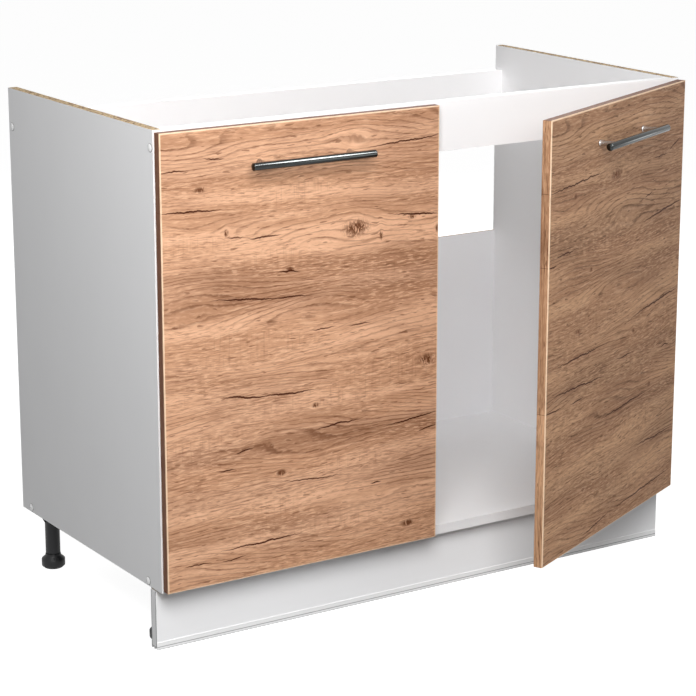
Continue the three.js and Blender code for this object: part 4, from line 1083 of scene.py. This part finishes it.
def arm_screws(wall, inwards, height):
    """A hinge arm's sunk adjuster and its clamping screw."""
    screws = []
    for size, sunk, back in ((ADJUSTER_SCREW, ADJUSTER_SUNK, ADJUSTER_FROM_FRONT),
                             (CLAMP_SCREW, CLAMP_SUNK, CLAMP_FROM_FRONT)):
        spot = (wall + inwards * (ARM_TOP_FROM_WALL - sunk), CARCASS_FRONT + back, height)
        screws.append(pan_screw(size, spot, (inwards, 0, 0)))
    return joined(*screws)


def cup_screws(row):
    """The two screws of a hinge cup on the left door."""
    low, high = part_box(f"hinge_cup_left_{row}")
    middle = (DOOR_LOW.x + CUP_CENTRE_FROM_EDGE + CUP_SCREW_OFFSET, DOOR_HIGH.y + CUP_FLANGE_THICKNESS,
              (low.z + high.z) / 2)
    return screw_pair(CUP_SCREW, (0, 1, 0), middle, (0, 0, CUP_SCREW_SPREAD))


def clip_screws(side):
    """The two screws of a plinth clip."""
    low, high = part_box(f"plinth_clip_{side}")
    middle = ((low.x + high.x) / 2, low.y + CLIP_WALL, (low.z + high.z) / 2)
    return screw_pair(CLIP_SCREW, (0, 1, 0), middle, (CLIP_SCREW_SPREAD, 0, 0))


def back_nails():
    """Flat nail heads along three edges of the back panel, flush with its rear face."""
    low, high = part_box("back_panel")
    left, right = low.x + NAIL_FROM_EDGE, high.x - NAIL_FROM_EDGE
    foot, top = low.z + NAIL_FROM_EDGE, high.z - NAIL_FROM_EDGE
    spots = [(left + (right - left) * step / NAIL_GAPS_ALONG, foot) for step in range(NAIL_GAPS_ALONG + 1)]
    spots += [(x, foot + (top - foot) * step / NAIL_GAPS_UP)
              for x in (left, right) for step in range(1, NAIL_GAPS_UP + 1)]
    outline = [(0, -NAIL_DEPTH), (NAIL_SHANK_RADIUS, -NAIL_DEPTH), (NAIL_RADIUS, -NAIL_HEAD),
               (NAIL_RADIUS, -NAIL_HEAD / 3), (NAIL_RADIUS * 0.8, NAIL_PROUD), (0, NAIL_PROUD)]
    return joined(*[spin_profile(outline, (x, high.y, z), ROUND_SMALL, axis=(0, 1, 0)) for x, z in spots])


for side, inwards in (("left", 1), ("right", -1)):
    wall = inwards * (BOARD - OUTER_FACE)
    for row in ("lower", "upper"):
        arm_low, arm_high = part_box(f"hinge_arm_{side}_{row}")
        height = (arm_low.z + arm_high.z) / 2
        for kind, body, screws in (("plate", "carcass", plate_screws(wall, inwards, height)),
                                   ("arm", "carcass", arm_screws(wall, inwards, height)),
                                   ("cup", f"{side}_door", moved(cup_screws(row), DOOR_PLACES[side]))):
            finish_piece(f"{kind}_screws_{side}_{row}", screws, body, "screw_steel")
    finish_piece(f"clip_screws_{side}", clip_screws(side), "carcass", "screw_steel")
finish_piece("back_panel_nails", back_nails(), "carcass", "screw_steel")


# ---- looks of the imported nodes

for name, node in frame["nodes"].items():
    given = node.material_slots[0].material.name if node.material_slots else ""
    slot = given.split(".")[0]
    material = NODE_MATERIALS.get(name) or SLOT_MATERIALS.get(slot, SLOT_MATERIALS["carcass_board"])
    if not node.material_slots:
        node.data.materials.append(material)
    for held in node.material_slots:
        held.material = material


# ---- floor, light and camera


def find_seen(tree):
    """1 for what the camera, gloss and glass see, and 0 for the light that falls on the object."""
    path = lay("LightPath", tree=tree).outputs
    seen = calc("MAXIMUM", path["Is Camera Ray"], path["Is Glossy Ray"])
    return calc("MAXIMUM", seen, path["Is Transmission Ray"])


def make_floor():
    """A pale floor: near white to the camera, and a plain grey to the light, so that it keeps the shadow."""
    bm = bmesh.new()
    bmesh.ops.create_grid(bm, x_segments=1, y_segments=1, size=FLOOR_REACH)
    floor = into_scene("studio_floor", as_mesh("studio_floor", bm))
    material = bpy.data.materials.new("studio_floor_paint")
    material.use_nodes = True
    tree = material.node_tree
    tree.nodes.clear()
    matt = lay("BsdfDiffuse", {"Color": FLOOR_SEEN_GREY}, tree).outputs[0]
    glow = lay("Emission", {"Color": WHITE, "Strength": FLOOR_SEEN_GLOW}, tree).outputs[0]
    both = lay("AddShader", {0: matt, 1: glow}).outputs[0]
    plain = lay("BsdfDiffuse", {"Color": FLOOR_GREY}, tree).outputs[0]
    mixed = lay("MixShader", {0: find_seen(tree), 1: plain, 2: both}).outputs[0]
    lay("OutputMaterial", {"Surface": mixed})
    floor.data.materials.append(material)


def make_world():
    """White to the camera, to gloss and through glass, and an even grey light for the rest."""
    world = bpy.data.worlds.new("studio")
    bpy.context.scene.world = world
    world.use_nodes = True
    tree = world.node_tree
    tree.nodes.clear()
    room = lay("Background", {"Color": WHITE, "Strength": ROOM_LIGHT}, tree).outputs[0]
    white = lay("Background", {"Color": WHITE, "Strength": ROOM_SEEN}, tree).outputs[0]
    mixed = lay("MixShader", {0: find_seen(tree), 1: room, 2: white}).outputs[0]
    lay("OutputWorld", {"Surface": mixed})


def make_softbox(name, place_at, look_at, side, watts):
    """A square softbox."""
    lamp = bpy.data.lights.new(name, "AREA")
    lamp.shape = "SQUARE"
    lamp.size = side
    lamp.energy = watts
    holder = into_scene(name, lamp)
    holder.location = place_at
    holder.rotation_euler = (Vector(look_at) - Vector(place_at)).to_track_quat("-Z", "Y").to_euler()
    return holder


def make_camera():
    """The photograph's camera, level across and looking a little down."""
    lens = bpy.data.cameras.new("photo_camera")
    lens.sensor_width = SENSOR
    lens.lens = LENS
    holder = into_scene("photo_camera", lens)
    holder.location = CAMERA_PLACE
    holder.rotation_euler = (math.pi / 2 - CAMERA_DOWN, 0, -CAMERA_ASIDE)
    bpy.context.scene.camera = holder


make_floor()
make_world()
for softbox in SOFTBOXES:
    make_softbox(*softbox)
for card in GLOSS_CARDS:
    make_softbox(*card).visible_diffuse = False
make_camera()
bpy.context.scene.view_settings.view_transform = "Standard"
